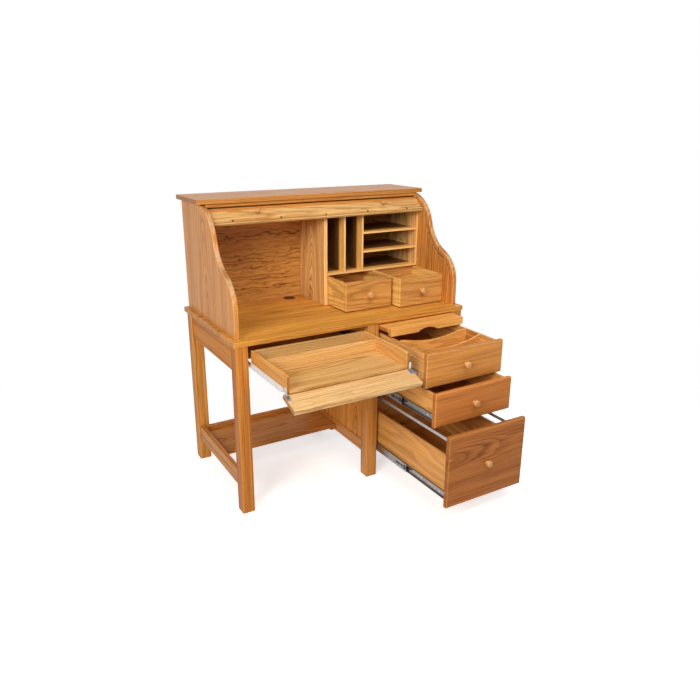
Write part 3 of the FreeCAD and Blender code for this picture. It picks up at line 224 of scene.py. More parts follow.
class DeskFittings(bpy.types.PropertyGroup):
    """Sizes of the small fittings on the drawer slides and hinges."""

    sheet: bpy.props.FloatProperty(
        name="Sheet", description="Steel sheet of the slides", unit="LENGTH", default=0.0012)
    lever_length: bpy.props.FloatProperty(
        name="Lever", description="Release lever between its end centres", unit="LENGTH", default=0.040)
    lever_root: bpy.props.FloatProperty(
        name="Lever root", description="Radius of the lever's pivot end", unit="LENGTH", default=0.0065)
    lever_tip: bpy.props.FloatProperty(
        name="Lever tip", description="Radius of the lever's free end", unit="LENGTH", default=0.0036)
    lever_thick: bpy.props.FloatProperty(
        name="Lever thickness", description="Nylon of the lever", unit="LENGTH", default=0.0026)
    lever_tilt: bpy.props.FloatProperty(
        name="Lever tilt", description="Rise of the lever towards the drawer front", subtype="ANGLE",
        default=math.radians(12.0))
    bumper: bpy.props.FloatProperty(
        name="Bumper", description="Radius of the black bumper on the middle member", unit="LENGTH",
        default=0.0105)
    # Painted shade: a thin black sheet laid where the middle member's slots show only shade
    slot_shade_thick: bpy.props.FloatProperty(
        name="Slot shade", description="Black liner of the middle member's slots", unit="LENGTH",
        default=0.0003)
    screw_radius: bpy.props.FloatProperty(
        name="Screw head", description="Radius of the slide screws' heads", unit="LENGTH", default=0.004)
    screw_height: bpy.props.FloatProperty(
        name="Screw height", description="Height of the slide screws' heads", unit="LENGTH", default=0.0022)
    screw_start: bpy.props.FloatProperty(
        name="First screw", description="First screw behind the slide's front end", unit="LENGTH",
        default=0.037)
    screw_step: bpy.props.FloatProperty(
        name="Screw spacing", description="From one slide screw to the next", unit="LENGTH", default=0.196)
    hinge_inset: bpy.props.FloatProperty(
        name="Hinge screw inset", description="Hinge screw from the outer end of its hinge", unit="LENGTH",
        default=0.0087)
    hinge_reach: bpy.props.FloatProperty(
        name="Hinge screw reach", description="Hinge screw from the pin along the fall front", unit="LENGTH",
        default=0.0165)
    hinge_drop: bpy.props.FloatProperty(
        name="Hinge plate drop", description="Top of the hinge plate below the pin's centre", unit="LENGTH",
        default=0.0015)
    hinge_screw: bpy.props.FloatProperty(
        name="Hinge screw", description="Radius of the sunk hinge screws' heads", unit="LENGTH",
        default=0.0036)
    hinge_proud: bpy.props.FloatProperty(
        name="Hinge screw height", description="Hinge screw's head above its plate", unit="LENGTH",
        default=0.00015)


class DeskStage(bpy.types.PropertyGroup):
    """Camera, floor and light of the studio."""

    camera_place: bpy.props.FloatVectorProperty(
        name="Camera", description="Where the camera stands", subtype="TRANSLATION", size=3,
        default=(-1.4024, -2.3071, 1.5532))
    camera_pitch: bpy.props.FloatProperty(
        name="Pitch", description="How far the camera looks down", subtype="ANGLE",
        default=math.radians(17.63))
    camera_yaw: bpy.props.FloatProperty(
        name="Yaw", description="How far the camera turns to the right", subtype="ANGLE",
        default=math.radians(29.92))
    lens: bpy.props.FloatProperty(
        name="Lens", description="Focal length on a 36 mm wide sensor", unit="CAMERA", default=33.23)
    shift_x: bpy.props.FloatProperty(
        name="Shift X", description="Sideways shift of the picture", default=0.0167)
    shift_y: bpy.props.FloatProperty(
        name="Shift Y", description="Upward shift of the picture", default=-0.0224)
    floor_size: bpy.props.FloatProperty(
        name="Floor", description="Width of the floor", unit="LENGTH", default=40.0)
    floor_tone: bpy.props.FloatProperty(
        name="Floor tone", description="Grey of the floor's paint", subtype="FACTOR", default=0.82)
    floor_lift: bpy.props.FloatProperty(
        name="Floor lift", description="White added to the floor where it is seen", subtype="FACTOR",
        default=0.62)
    ambient: bpy.props.FloatProperty(
        name="Ambient", description="Strength of the light from all round", default=0.12)
    key_power: bpy.props.FloatProperty(
        name="Key light", description="Power of the large lamp at the front left", unit="POWER",
        default=113.0)
    top_power: bpy.props.FloatProperty(
        name="Top light", description="Power of the soft box overhead", unit="POWER", default=68.0)
    fill_power: bpy.props.FloatProperty(
        name="Fill light", description="Power of the weak lamp at the front right", unit="POWER",
        default=4.0)
    back_power: bpy.props.FloatProperty(
        name="Back light", description="Power of the soft lamp behind the desk", unit="POWER", default=26.0)
    side_power: bpy.props.FloatProperty(
        name="Side light", description="Power of the soft lamp at the right", unit="POWER", default=22.0)
    clear_near: bpy.props.FloatProperty(
        name="Shadow reach", description="Floor this close to the desk keeps its shadow", unit="LENGTH",
        default=1.1)
    clear_far: bpy.props.FloatProperty(
        name="Clear floor", description="Floor this far from the desk is plain white", unit="LENGTH",
        default=2.4)


class Wiring:
    """Adds nodes to one node tree and links them."""

    def __init__(self, tree):
        self.tree = tree

    def add(self, kind, inputs=None, **settings):
        node = self.tree.nodes.new(kind)
        for key, value in settings.items():
            setattr(node, key, value)
        for key, value in (inputs or {}).items():
            self.feed(node.inputs[key], value)
        return node

    def feed(self, socket, value):
        if isinstance(value, bpy.types.NodeSocket):
            self.tree.links.new(value, socket)
        else:
            socket.default_value = value

    def math(self, operation, first, second=0.0, third=0.0, clamp=False):
        node = self.add("ShaderNodeMath", {0: first, 1: second, 2: third}, operation=operation,
                        use_clamp=clamp)
        return node.outputs[0]

    def ramp(self, value, low, high, to_low=0.0, to_high=1.0):
        node = self.add("ShaderNodeMapRange", {"Value": value, "From Min": low, "From Max": high,
                                               "To Min": to_low, "To Max": to_high},
                        interpolation_type="SMOOTHSTEP")
        return node.outputs["Result"]

    def mix(self, factor, first, second, blend="MIX"):
        """Two colours mixed: sockets 6 and 7 of the node take colours, and 2 puts one out."""
        node = self.add("ShaderNodeMix", {"Factor": factor, 6: first, 7: second}, data_type="RGBA",
                        blend_type=blend)
        return node.outputs[2]

    def mix_vector(self, factor, first, second):
        """Two vectors mixed: sockets 4 and 5 of the node take vectors, and 1 puts one out."""
        node = self.add("ShaderNodeMix", {"Factor": factor, 4: first, 5: second}, data_type="VECTOR")
        return node.outputs[1]

    def scale(self, factor, colour, gain):
        """A colour times a gain, as far as the factor goes."""
        return self.mix(factor, colour, (*gain, 1.0), blend="MULTIPLY")

    def swing(self, value, amount):
        """A value about one half, brought to swing about nought."""
        return self.math("MULTIPLY", self.math("SUBTRACT", value, 0.5), amount)

    def split(self, vector):
        return self.add("ShaderNodeSeparateXYZ", {0: vector}).outputs

    def join(self, first, second, third):
        return self.add("ShaderNodeCombineXYZ", {0: first, 1: second, 2: third}).outputs[0]

    def group(self, name, **inputs):
        node = self.add("ShaderNodeGroup", node_tree=bpy.data.node_groups[name])
        for label, value in inputs.items():
            self.feed(node.inputs[label], value)
        return node.outputs

    def noise(self, vector, scale, detail=2.0):
        node = self.add("ShaderNodeTexNoise", {"Vector": vector, "Scale": scale, "Detail": detail})
        return node.outputs["Fac"]

    def stretch(self, vector, scales):
        node = self.add("ShaderNodeVectorMath", {0: vector, 1: scales}, operation="MULTIPLY")
        return node.outputs[0]


def new_group(name, inputs, outputs):
    """A shader node group with its named sockets, its wiring and its two end nodes."""
    tree = bpy.data.node_groups.new(name, "ShaderNodeTree")
    for label, kind, default in inputs:
        socket = tree.interface.new_socket(label, in_out="INPUT", socket_type=kind)
        if default is not None:
            socket.default_value = default
    for label, kind in outputs:
        tree.interface.new_socket(label, in_out="OUTPUT", socket_type=kind)
    wire = Wiring(tree)
    return wire, wire.add("NodeGroupInput").outputs, wire.add("NodeGroupOutput").inputs


def oak_grain_group(finish):
    """Growth rings cut by the board, with fibres, pores and a slow change of tone."""
    wire, source, result = new_group(
        "Oak grain",
        [("Board", VECTOR, None), ("Light", COLOUR, tuple(finish.light)),
         ("Dark", COLOUR, tuple(finish.dark)), ("Pore", COLOUR, tuple(finish.pore)),
         ("Heart Across", VALUE, 0.0), ("Heart Depth", VALUE, 0.08), ("Spell", VALUE, 0.45),
         ("Taper", VALUE, 0.06), ("Sway", VALUE, 0.012), ("Wild", VALUE, 0.0), ("Sharp", VALUE, 1.0),
         ("Ring Width", VALUE, finish.ring_width), ("Stave Width", VALUE, 9.0), ("Figure", VALUE, 0.6),
         ("Streak", VALUE, 0.6), ("Seed", VALUE, 0.0)],
        [("Color", COLOUR), ("Roughness", VALUE), ("Height", VALUE)])
    along, across, depth = wire.split(source["Board"])

    # Each stave of a glued-up board is drawn by chance from its own log
    stave = wire.math("FLOOR", wire.math("ADD", wire.math("DIVIDE", across, source["Stave Width"]), 0.5))
    drawn = wire.add("ShaderNodeTexWhiteNoise", {"W": wire.math("ADD", stave, source["Seed"])},
                     noise_dimensions="1D")
    chance = wire.add("ShaderNodeSeparateColor", {0: drawn.outputs["Color"]}).outputs
    fibres = wire.join(wire.math("MULTIPLY_ADD", chance[0], 7.0, along),
                       wire.math("MULTIPLY_ADD", chance[1], 3.0, across), depth)

    # Distance from the heart of the log, which sways slowly
    sway = wire.math("MULTIPLY", source["Sway"], 4.0)
    slow = wire.noise(wire.stretch(fibres, (1.5, 5.0, 5.0)), 1.0, 1.5)
    slow_two = wire.noise(wire.stretch(fibres, (2.1, 6.0, 6.0)), 1.37, 1.5)
    from_heart = wire.math("SUBTRACT", across, source["Heart Across"])
    from_heart = wire.math("SUBTRACT", from_heart, wire.math("MULTIPLY", stave, source["Stave Width"]))
    from_heart = wire.math("ADD", from_heart, wire.swing(chance[1], 0.05))
    from_heart = wire.math("ADD", from_heart, wire.swing(slow, sway))
    below = wire.math("MULTIPLY_ADD", along, source["Taper"], wire.math("ADD", depth, source["Heart Depth"]))
    below = wire.math("ADD", below, wire.swing(slow_two, sway))
    radius = wire.math("SQRT", wire.math("MULTIPLY_ADD", from_heart, from_heart,
                                         wire.math("MULTIPLY", below, below)))
    wild = wire.noise(wire.stretch(fibres, (12.0, 36.0, 36.0)), 1.0, 3.0)
    radius = wire.math("ADD", radius, wire.swing(wild, wire.math("MULTIPLY", source["Wild"], 2.0)))

    # Rings: dark early wood, stronger in some years and broken where the grain is wild
    ripple = wire.noise(wire.stretch(fibres, (9.0, 70.0, 70.0)), 1.0, 2.0)
    count = wire.math("ADD", wire.math("DIVIDE", radius, source["Ring Width"]), wire.swing(ripple, 0.7))
    phase = wire.math("FRACT", count)
    year = wire.add("ShaderNodeTexWhiteNoise", {"W": wire.math("FLOOR", count)}, noise_dimensions="1D")
    strength = wire.ramp(year.outputs["Value"], 0.0, 1.0, 0.3, 1.0)
    early = wire.math("MAXIMUM", wire.ramp(phase, 0.0, 0.62, 1.0, 0.0), wire.ramp(phase, 0.86, 1.0))
    early = wire.math("POWER", early, source["Sharp"])
    spell = wire.add("ShaderNodeTexNoise",
                     {"W": wire.math("MULTIPLY_ADD", count, 0.31, stave), "Scale": 1.0},
                     noise_dimensions="1D").outputs["Fac"]
    broken = wire.ramp(wire.noise(wire.stretch(fibres, (14.0, 45.0, 45.0)), 1.0, 2.0), 0.30, 0.52, 1.0, 0.0)
    broken = wire.math("MULTIPLY", broken, wire.math("MULTIPLY", source["Wild"], 24.0, clamp=True))
    lines = wire.math("MULTIPLY", wire.math("MULTIPLY", early, strength), wire.math("SUBTRACT", 1.0, broken))
    band = wire.math("MULTIPLY_ADD", lines, 0.65, wire.ramp(spell, 0.35, 0.65, 0.0, source["Spell"]))

    # Fibres, broad streaks and open pores
    fibre = wire.noise(wire.stretch(fibres, (3.5, 130.0, 130.0)), 1.0, 4.0)
    broad = wire.noise(wire.stretch(fibres, (1.6, 34.0, 34.0)), 1.0, 2.0)
    pores = wire.noise(wire.stretch(fibres, (55.0, 1500.0, 1500.0)), 1.0, 1.0)
    pore_mask = wire.math("MULTIPLY", wire.ramp(pores, 0.56, 0.66), wire.ramp(early, 0.1, 0.8, 0.15, 1.0))

    # How much stain each place holds
    stain = wire.math("MULTIPLY", band, source["Figure"])
    stain = wire.math("ADD", stain, wire.swing(fibre, wire.math("MULTIPLY", source["Streak"], 1.6)))
    stain = wire.math("ADD", stain, wire.swing(broad, source["Streak"]))
    stain = wire.math("ADD", stain, wire.swing(chance[2], 0.25), clamp=True)
    tint = wire.mix(stain, source["Light"], source["Dark"])
    wire.feed(result["Color"], wire.mix(wire.math("MULTIPLY", pore_mask, 0.5), tint, source["Pore"]))

    # Early wood and pores are rougher and lie a little deeper
    gloss = wire.math("MULTIPLY_ADD", band, 0.10, 0.34)
    wire.feed(result["Roughness"], wire.math("MULTIPLY_ADD", pore_mask, 0.12, gloss))
    relief = wire.math("MULTIPLY_ADD", pore_mask, -0.8, wire.math("MULTIPLY", fibre, 0.25))
    wire.feed(result["Height"], wire.math("MULTIPLY_ADD", band, -0.3, relief))


def board_axes_group():
    """Grain direction of a jointed box, told by which way each face looks."""
    wire, source, result = new_group("Board axes", [("Position", VECTOR, None), ("Normal", VECTOR, None)],
                                     [("Board", VECTOR)])
    place = wire.split(source["Position"])
    facing = wire.split(source["Normal"])
    side = wire.math("GREATER_THAN", wire.math("ABSOLUTE", facing[0]), 0.7)
    front = wire.math("GREATER_THAN", wire.math("ABSOLUTE", facing[1]), 0.7)
    flat_or_side = wire.mix_vector(side, wire.join(place[1], place[0], place[2]),
                                   wire.join(place[1], place[2], place[0]))
    wire.feed(result["Board"], wire.mix_vector(front, flat_or_side,
                                               wire.join(place[0], place[2], place[1])))


def board_edges_group():
    """Masks of a squared board's eased edges, broken up by noise, of its sawn ends, front and flanks."""
    wire, source, result = new_group(
        "Board edges", [("Position", VECTOR, None), ("Normal", VECTOR, None), ("Along", VECTOR, None)],
        [("Edge", VALUE), ("End", VALUE), ("Front", VALUE), ("Flank", VALUE)])
    facing = wire.split(source["Normal"])
    largest = wire.math("ABSOLUTE", facing[0])
    for axis in (1, 2):
        largest = wire.math("MAXIMUM", largest, wire.math("ABSOLUTE", facing[axis]))
    slant = wire.ramp(wire.math("SUBTRACT", 1.0, largest), 0.02, 0.2)
    patch = wire.ramp(wire.noise(source["Position"], 45.0, 3.0), 0.3, 0.65, 0.35, 1.0)
    wire.feed(result["Edge"], wire.math("MULTIPLY", slant, patch))
    ahead = wire.add("ShaderNodeVectorMath", {0: source["Normal"], 1: source["Along"]},
                     operation="DOT_PRODUCT").outputs["Value"]
    wire.feed(result["End"], wire.ramp(wire.math("ABSOLUTE", ahead), 0.75, 0.95))
    wire.feed(result["Front"], wire.ramp(facing[1], -0.9, -0.6, 1.0, 0.0))
    wire.feed(result["Flank"], wire.ramp(wire.math("ABSOLUTE", facing[0]), 0.6, 0.9))


def brushed_metal_group():
    """Drawn streaks, cloudy plating and faint scuffs of sheet metal."""
    wire, source, result = new_group(
        "Brushed metal",
        [("Position", VECTOR, None), ("Tint", COLOUR, (0.6, 0.6, 0.6, 1.0)),
         ("Shade", COLOUR, (0.3, 0.3, 0.3, 1.0))],
        [("Color", COLOUR), ("Roughness", VALUE), ("Height", VALUE)])
    streak = wire.noise(wire.stretch(source["Position"], (1800.0, 25.0, 1800.0)), 1.0, 2.0)
    cloud = wire.noise(source["Position"], 60.0, 3.0)
    dull = wire.math("MULTIPLY_ADD", cloud, 0.5, wire.math("MULTIPLY", streak, 0.5))
    wire.feed(result["Color"], wire.mix(wire.ramp(dull, 0.3, 0.75), source["Tint"], source["Shade"]))
    wire.feed(result["Roughness"], wire.ramp(dull, 0.25, 0.75, 0.24, 0.48))
    wire.feed(result["Height"], streak)


def moulded_group():
    """Fine moulded texture with rubbed patches, for enamel, nylon and plastic."""
    wire, source, result = new_group(
        "Moulded surface",
        [("Position", VECTOR, None), ("Tint", COLOUR, (0.5, 0.5, 0.5, 1.0)),
         ("Shade", COLOUR, (0.3, 0.3, 0.3, 1.0))],
        [("Color", COLOUR), ("Roughness", VALUE), ("Height", VALUE)])
    cloud = wire.noise(source["Position"], 90.0, 4.0)
    grain = wire.noise(source["Position"], 2600.0, 1.0)
    wire.feed(result["Color"], wire.mix(wire.ramp(cloud, 0.3, 0.75), source["Tint"], source["Shade"]))
    wire.feed(result["Roughness"], wire.ramp(cloud, 0.25, 0.75, 0.34, 0.52))
    wire.feed(result["Height"], grain)


def new_material(name):
    """An empty node material with its shader, its wiring and its object coordinates."""
    material = bpy.data.materials.new(name)
    material.use_nodes = True
    material.node_tree.nodes.clear()
    wire = Wiring(material.node_tree)
    shader = wire.add("ShaderNodeBsdfPrincipled")
    wire.add("ShaderNodeOutputMaterial", {"Surface": shader.outputs[0]})
    places = wire.add("ShaderNodeTexCoord").outputs
    return material, wire, shader, places


def bump(wire, shader, height, strength, distance):
    """Relief from a height value."""
    node = wire.add("ShaderNodeBump", {"Height": height, "Strength": strength, "Distance": distance})
    wire.feed(shader.inputs["Normal"], node.outputs[0])


def darker(colour, share):
    """A colour with its red, green and blue scaled."""
    return tuple(part * share for part in colour[:3]) + (1.0,)


def oak(name, origin, order, finish, light=None, dark=None, tone=1.0, edge=0.35, rub=None, end=0.75,
        lip=0.0, deep=0.0, front=0.0, flank=None, twin=None, fold=0.0, gloss=SATIN, **figure):
    """A board's material: rings, fibres and pores laid along its grain, pale eased edges and dark sawn ends.

    The pale eased edges are partly wear and partly a painted highlight, and a colour given for them is a
    painted sheen. A paler face that looks forward is a painted highlight, the darkening of the board past
    its front is painted shade far inside a pigeonhole, and the scaled colour of faces that look sideways is
    painted light and shade. An axis and gain paint light onto the second board along that axis. Boards that
    stand a fold apart are cut alike."""
    material, wire, shader, places = new_material("oak_" + name)
    near = wire.add("ShaderNodeVectorMath", {0: places["Object"], 1: origin},
                    operation="SUBTRACT").outputs[0]
    along = (0.0, 0.0, 0.0)
    if order is BY_FACE:
        board = wire.group("Board axes", Position=near, Normal=places["Normal"])["Board"]
    else:
        parts = wire.split(near)
        parts = [parts[axis] for axis in order]
        if fold:
            parts[2] = wire.math("FLOORED_MODULO", wire.math("ADD", parts[2], FOLD_START), fold)
        board = wire.join(*parts)
        along = tuple(float(axis == order[0]) for axis in "XYZ")
    grain = wire.group("Oak grain", Board=board, Light=darker(light or finish.light, tone),
                       Dark=darker(dark or finish.dark, tone), Pore=darker(finish.pore, tone), **figure)
    edges = wire.group("Board edges", Position=places["Object"], Normal=places["Normal"], Along=along)
    # Pale eased edges: partly wear, partly a painted highlight where the rounded edges catch the light
    tint = wire.mix(wire.math("MULTIPLY", edges["Edge"], edge), grain["Color"],
                    darker(rub or finish.pale_light, tone))
    tint = wire.mix(wire.math("MULTIPLY", edges["End"], end), tint, darker(finish.end_grain, tone))
    # Painted light and shade: faces that look sideways are made lighter or darker for how the lamps fall on
    # them
    if flank:
        tint = wire.scale(edges["Flank"], tint, flank)
    # Painted light: the second board along the axis is made paler, standing in for light it gets too little
    # of
    if twin:
        axis, gain = twin
        second = wire.math("GREATER_THAN", wire.split(near)[axis], FAR_BOARD_GAP)
        tint = wire.scale(second, tint, gain)
    # Painted shade: the board grows dark past its front, standing in for the shadow far inside a pigeonhole
    if deep:
        start = front + finish.painted_shade_start
        behind = wire.ramp(wire.split(places["Object"])["Y"], start, start + finish.painted_shade_reach, 0.0, deep)
        tint = wire.mix(behind, tint, darker(finish.pore, PAINTED_SHADE_TONE))
    # Painted highlight: faces that look forward are mixed towards pale wood, standing in for the light on
    # the front edges
    if lip:
        front_highlight_colour = wire.mix(HIGHLIGHT_SHARE, grain["Color"], darker(finish.pale_light, HIGHLIGHT_TONE))
        tint = wire.mix(wire.math("MULTIPLY", edges["Front"], lip), tint, front_highlight_colour)
    wire.feed(shader.inputs["Base Color"], tint)
    wire.feed(shader.inputs["Roughness"], grain["Roughness"])
    shader.inputs["Specular IOR Level"].default_value = gloss
    shader.inputs["Coat Weight"].default_value = finish.coat * gloss / SATIN
    shader.inputs["Coat Roughness"].default_value = LACQUER_ROUGHNESS
    bump(wire, shader, grain["Height"], GRAIN_STRENGTH, GRAIN_RELIEF)
    return material


def surface(name, group, tint, shade, metallic=0.0, relief=0.1):
    """A metal, enamel, nylon or plastic finish from one of the surface groups."""
    material, wire, shader, places = new_material(name)
    made = wire.group(group, Position=places["Object"], Tint=tint, Shade=shade)
    wire.feed(shader.inputs["Base Color"], made["Color"])
    wire.feed(shader.inputs["Roughness"], made["Roughness"])
    shader.inputs["Metallic"].default_value = metallic
    bump(wire, shader, made["Height"], relief, FINE_RELIEF)
    return material


def dress(node, material):
    """Gives a CAD node its material."""
    item = NODES[node]
    if not item.material_slots:
        item.data.materials.append(material)
    for slot in item.material_slots:
        slot.material = material


def board_origin(node, order):
    """Centre of a board's box, moved in depth to the face that shows: its left, front or top."""
    low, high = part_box(node)
    origin = (low + high) / 2
    if order is not BY_FACE:
        depth = "XYZ".index(order[2])
        origin[depth] = high[depth] if order[2] == "Z" else low[depth]
    return tuple(origin)


def oak_nodes(finish, boards):
    """Gives each named board its own piece of oak."""
    for number, (node, (order, figure)) in enumerate(boards.items()):
        figure = {"Seed": float(number * SEED_STEP % SEED_COUNT), "front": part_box(node)[0].y, **figure}
        dress(node, oak(node, board_origin(node, order), order, finish, **figure))


def bar_outline(length, first, second, steps=8):
    """Points round a flat bar whose two ends are half circles of their own radii: along it, then across."""
    points = []
    for centre, radius, start in ((0.0, first, math.pi / 2), (length, second, -math.pi / 2)):
        for step in range(steps + 1):
            angle = start + math.pi * step / steps
            points.append((centre + radius * math.cos(angle), radius * math.sin(angle)))
    return points


def add_plate(mesh, outline, place, thickness, tilt):
    """Adds a plate: its outline along Y and up Z from a place, tilted, and its thickness along X."""
    turn = Matrix.Translation(place) @ Matrix.Rotation(tilt, 4, "X")
    corners = [mesh.verts.new(turn @ Vector((0.0, *point))) for point in outline]
    grown = bmesh.ops.extrude_face_region(mesh, geom=[mesh.faces.new(corners)])["geom"]
    lifted = [item for item in grown if isinstance(item, bmesh.types.BMVert)]
    bmesh.ops.translate(mesh, verts=lifted, vec=(thickness, 0.0, 0.0))
    rim = [item for item in grown if isinstance(item, bmesh.types.BMEdge)]
    bmesh.ops.bevel(mesh, geom=rim, offset=abs(thickness) * PLATE_EASE, segments=2, profile=0.5,
                    affect="EDGES")


def add_turned(mesh, profile, place, outward, steps=20):
    """Adds a turned form: pairs of radius and height spun about a line that leaves a place outward."""
    turn = Matrix.Translation(place) @ Vector(outward).to_track_quat("Z", "Y").to_matrix().to_4x4()
    rings = []
    for radius, height in profile:
        count = steps if radius else 1
        rings.append([mesh.verts.new(turn @ Vector((radius * math.cos(math.tau * step / steps),
                                                    radius * math.sin(math.tau * step / steps), height)))
                      for step in range(count)])
    for lower, upper in zip(rings, rings[1:]):
        for step in range(steps):
            following = (step + 1) % steps
            corners = [lower[step], lower[following], upper[following % len(upper)],
                       upper[step % len(upper)]]
            mesh.faces.new(list(dict.fromkeys(corners)))
    mesh.faces.new(rings[0])


def screw_head(radius, height):
    """Radius and height pairs of a screw head with a recess."""
    return [(radius, 0.0), (radius, 0.3 * height), (0.92 * radius, 0.65 * height),
            (0.7 * radius, 0.9 * height), (0.38 * radius, height), (0.3 * radius, 0.5 * height),
            (0.0, 0.4 * height)]


def finish_piece(mesh, name, material, body):
    """Turns a mesh under construction into a smooth-shaded piece that rides on a body."""
    bmesh.ops.recalc_face_normals(mesh, faces=mesh.faces)
    for face in mesh.faces:
        face.smooth = len(face.verts) <= 4
    data = bpy.data.meshes.new(name)
    mesh.to_mesh(data)
    mesh.free()
    data.materials.append(material)
    piece = bpy.data.objects.new(name, data)
    bpy.context.scene.collection.objects.link(piece)
    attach(piece, body)


class DESK_OT_groups(bpy.types.Operator):
    """Builds the shader groups that the finishes share"""

    bl_idname = "desk.groups"
    bl_label = "Shader groups"
    bl_options = {"REGISTER", "UNDO"}

    def execute(self, context):
        oak_grain_group(context.scene.desk_finish)
        board_axes_group()
        board_edges_group()
        brushed_metal_group()
        moulded_group()
        return {"FINISHED"}


class DESK_OT_frame_boards(bpy.types.Operator):
    """Finishes the deck, legs, rails, footrest and pedestal"""

    bl_idname = "desk.frame_boards"
    bl_label = "Deck, legs and pedestal"
    bl_options = {"REGISTER", "UNDO"}

    def execute(self, context):
        finish = context.scene.desk_finish
        ruddy = {"light": finish.ruddy_light, "dark": finish.ruddy_dark}
        straight = {"Heart Across": 0.22, "Heart Depth": 0.03, "Taper": 0.015, "Sway": 0.006, "Figure": 0.62,
                    "Streak": 0.95}
        # Painted shade: the stretchers and support cleats are darkened a little for the shade under the desk
        shaded = {**straight, "tone": 0.95, "gloss": 0.06}
        low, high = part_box("pedestal_side_panels")
        panels = {**CATHEDRAL, "Heart Across": -0.17, "Figure": 1.15, "tone": 1.3, "gloss": 0.06,
                  "fold": high.x - low.x - PANEL_FOLD}
        oak_nodes(finish, {
            "deck_top": (ALONG_X_FLAT, {"light": finish.gold_light, "dark": finish.gold_dark,
                                        "Stave Width": 0.115, "Heart Depth": 0.05, "Taper": 0.03,
                                        "Figure": 0.7, "Streak": 1.25, "tone": 1.17, "end": 0.35}),
            "left_legs": (ALONG_Z_FRONT, {**straight, **ruddy, "tone": 0.96, "gloss": 0.05,
                                          "flank": (0.84, 0.76, 0.56), "twin": ("Y", (1.3, 1.55, 1.8))}),
            "pedestal_posts": (ALONG_Z_FRONT, straight),
            "aprons": (BY_FACE, {**straight, **ruddy, "gloss": 0.04, "flank": (0.98, 0.96, 0.7)}),
            "stretchers": (BY_FACE, shaded),
            "footrest_boards": (ALONG_X_FLAT, {"Heart Depth": 0.05, "tone": 0.94, "Stave Width": 0.128,
                                               "gloss": 0.06}),
            "support_cleats": (BY_FACE, shaded),
            "pedestal_side_rails": (ALONG_Y_SIDE, straight),
            "pedestal_side_panels": (ALONG_Z_SIDE, panels),
            "pedestal_back": (ALONG_Z_FRONT, {"Stave Width": 0.137}),
            "tray_dust_panel": (ALONG_X_FLAT, {"light": finish.lit_light, "dark": finish.lit_dark,
                                               "Stave Width": 0.11}),
            "writing_board_runners": (ALONG_Y_FLAT, straight),
        })
        return {"FINISHED"}


class DESK_OT_gallery_boards(bpy.types.Operator):
    """Finishes the gallery ends, top, backs and pigeonholes"""

    bl_idname = "desk.gallery_boards"
    bl_label = "Gallery and pigeonholes"
    bl_options = {"REGISTER", "UNDO"}

    def execute(self, context):
        finish = context.scene.desk_finish
        # Painted sheen: the curved ends' edges take the greyish colour that stands in for reflected light
        curved_end = {"Heart Depth": 0.05, "Taper": 0.2, "Ring Width": 0.014, "Figure": 0.5, "Streak": 1.0,
                      "edge": 0.45, "rub": finish.painted_edge_sheen, "tone": 1.05}
        flame = {"Heart Across": 0.62, "Heart Depth": 0.05, "Ring Width": 0.021, "Wild": 0.030,
                 "Spell": 0.12, "Sharp": 1.5, "Figure": 1.2, "Streak": 0.45, "light": finish.honey_light,
                 "dark": darker(finish.dark, 0.6), "tone": 1.1}
        # Painted light and shade: a pale highlight on the front edges and painted shadow far inside the
        # pigeonholes
        pigeonhole = {"light": finish.lit_light, "dark": finish.lit_dark, "Heart Depth": 0.07,
                      "lip": 0.9, "deep": 0.88}
        low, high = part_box("pigeonhole_sides")
        # Painted highlight: the uprights' front edges are painted paler
        uprights = {**CATHEDRAL, "light": finish.pale_light, "dark": darker(finish.pale_dark, 0.75),
                    "tone": 1.28, "lip": 0.8, "Figure": 1.2, "fold": high.x - low.x - LINING_FOLD}
        oak_nodes(finish, {
            "gallery_end_left": (ALONG_Z_SIDE, curved_end),
            "gallery_end_right": (ALONG_Z_SIDE, {**curved_end, "Taper": -0.1, "Heart Across": 0.1,
                                                 "Figure": 0.8, "Streak": 1.5, "tone": 1.12}),
            "gallery_top": (ALONG_X_FLAT, {"Stave Width": 0.145, "Heart Depth": 0.06, "Taper": 0.04,
                                           "tone": 0.84, "end": 0.5}),
            "gallery_top_rail": (ALONG_X_FRONT, {"Heart Across": 0.1}),
            "gallery_back": (ALONG_X_FRONT, flame),
            "gallery_inner_back": (ALONG_X_FRONT, flame),
            "pigeonhole_sides": (ALONG_Z_SIDE, uprights),
            "pigeonhole_shelves": (ALONG_X_FLAT, pigeonhole),
            "pigeonhole_dividers": (ALONG_Z_SIDE, {**pigeonhole, "Taper": 0.15}),
        })
        return {"FINISHED"}


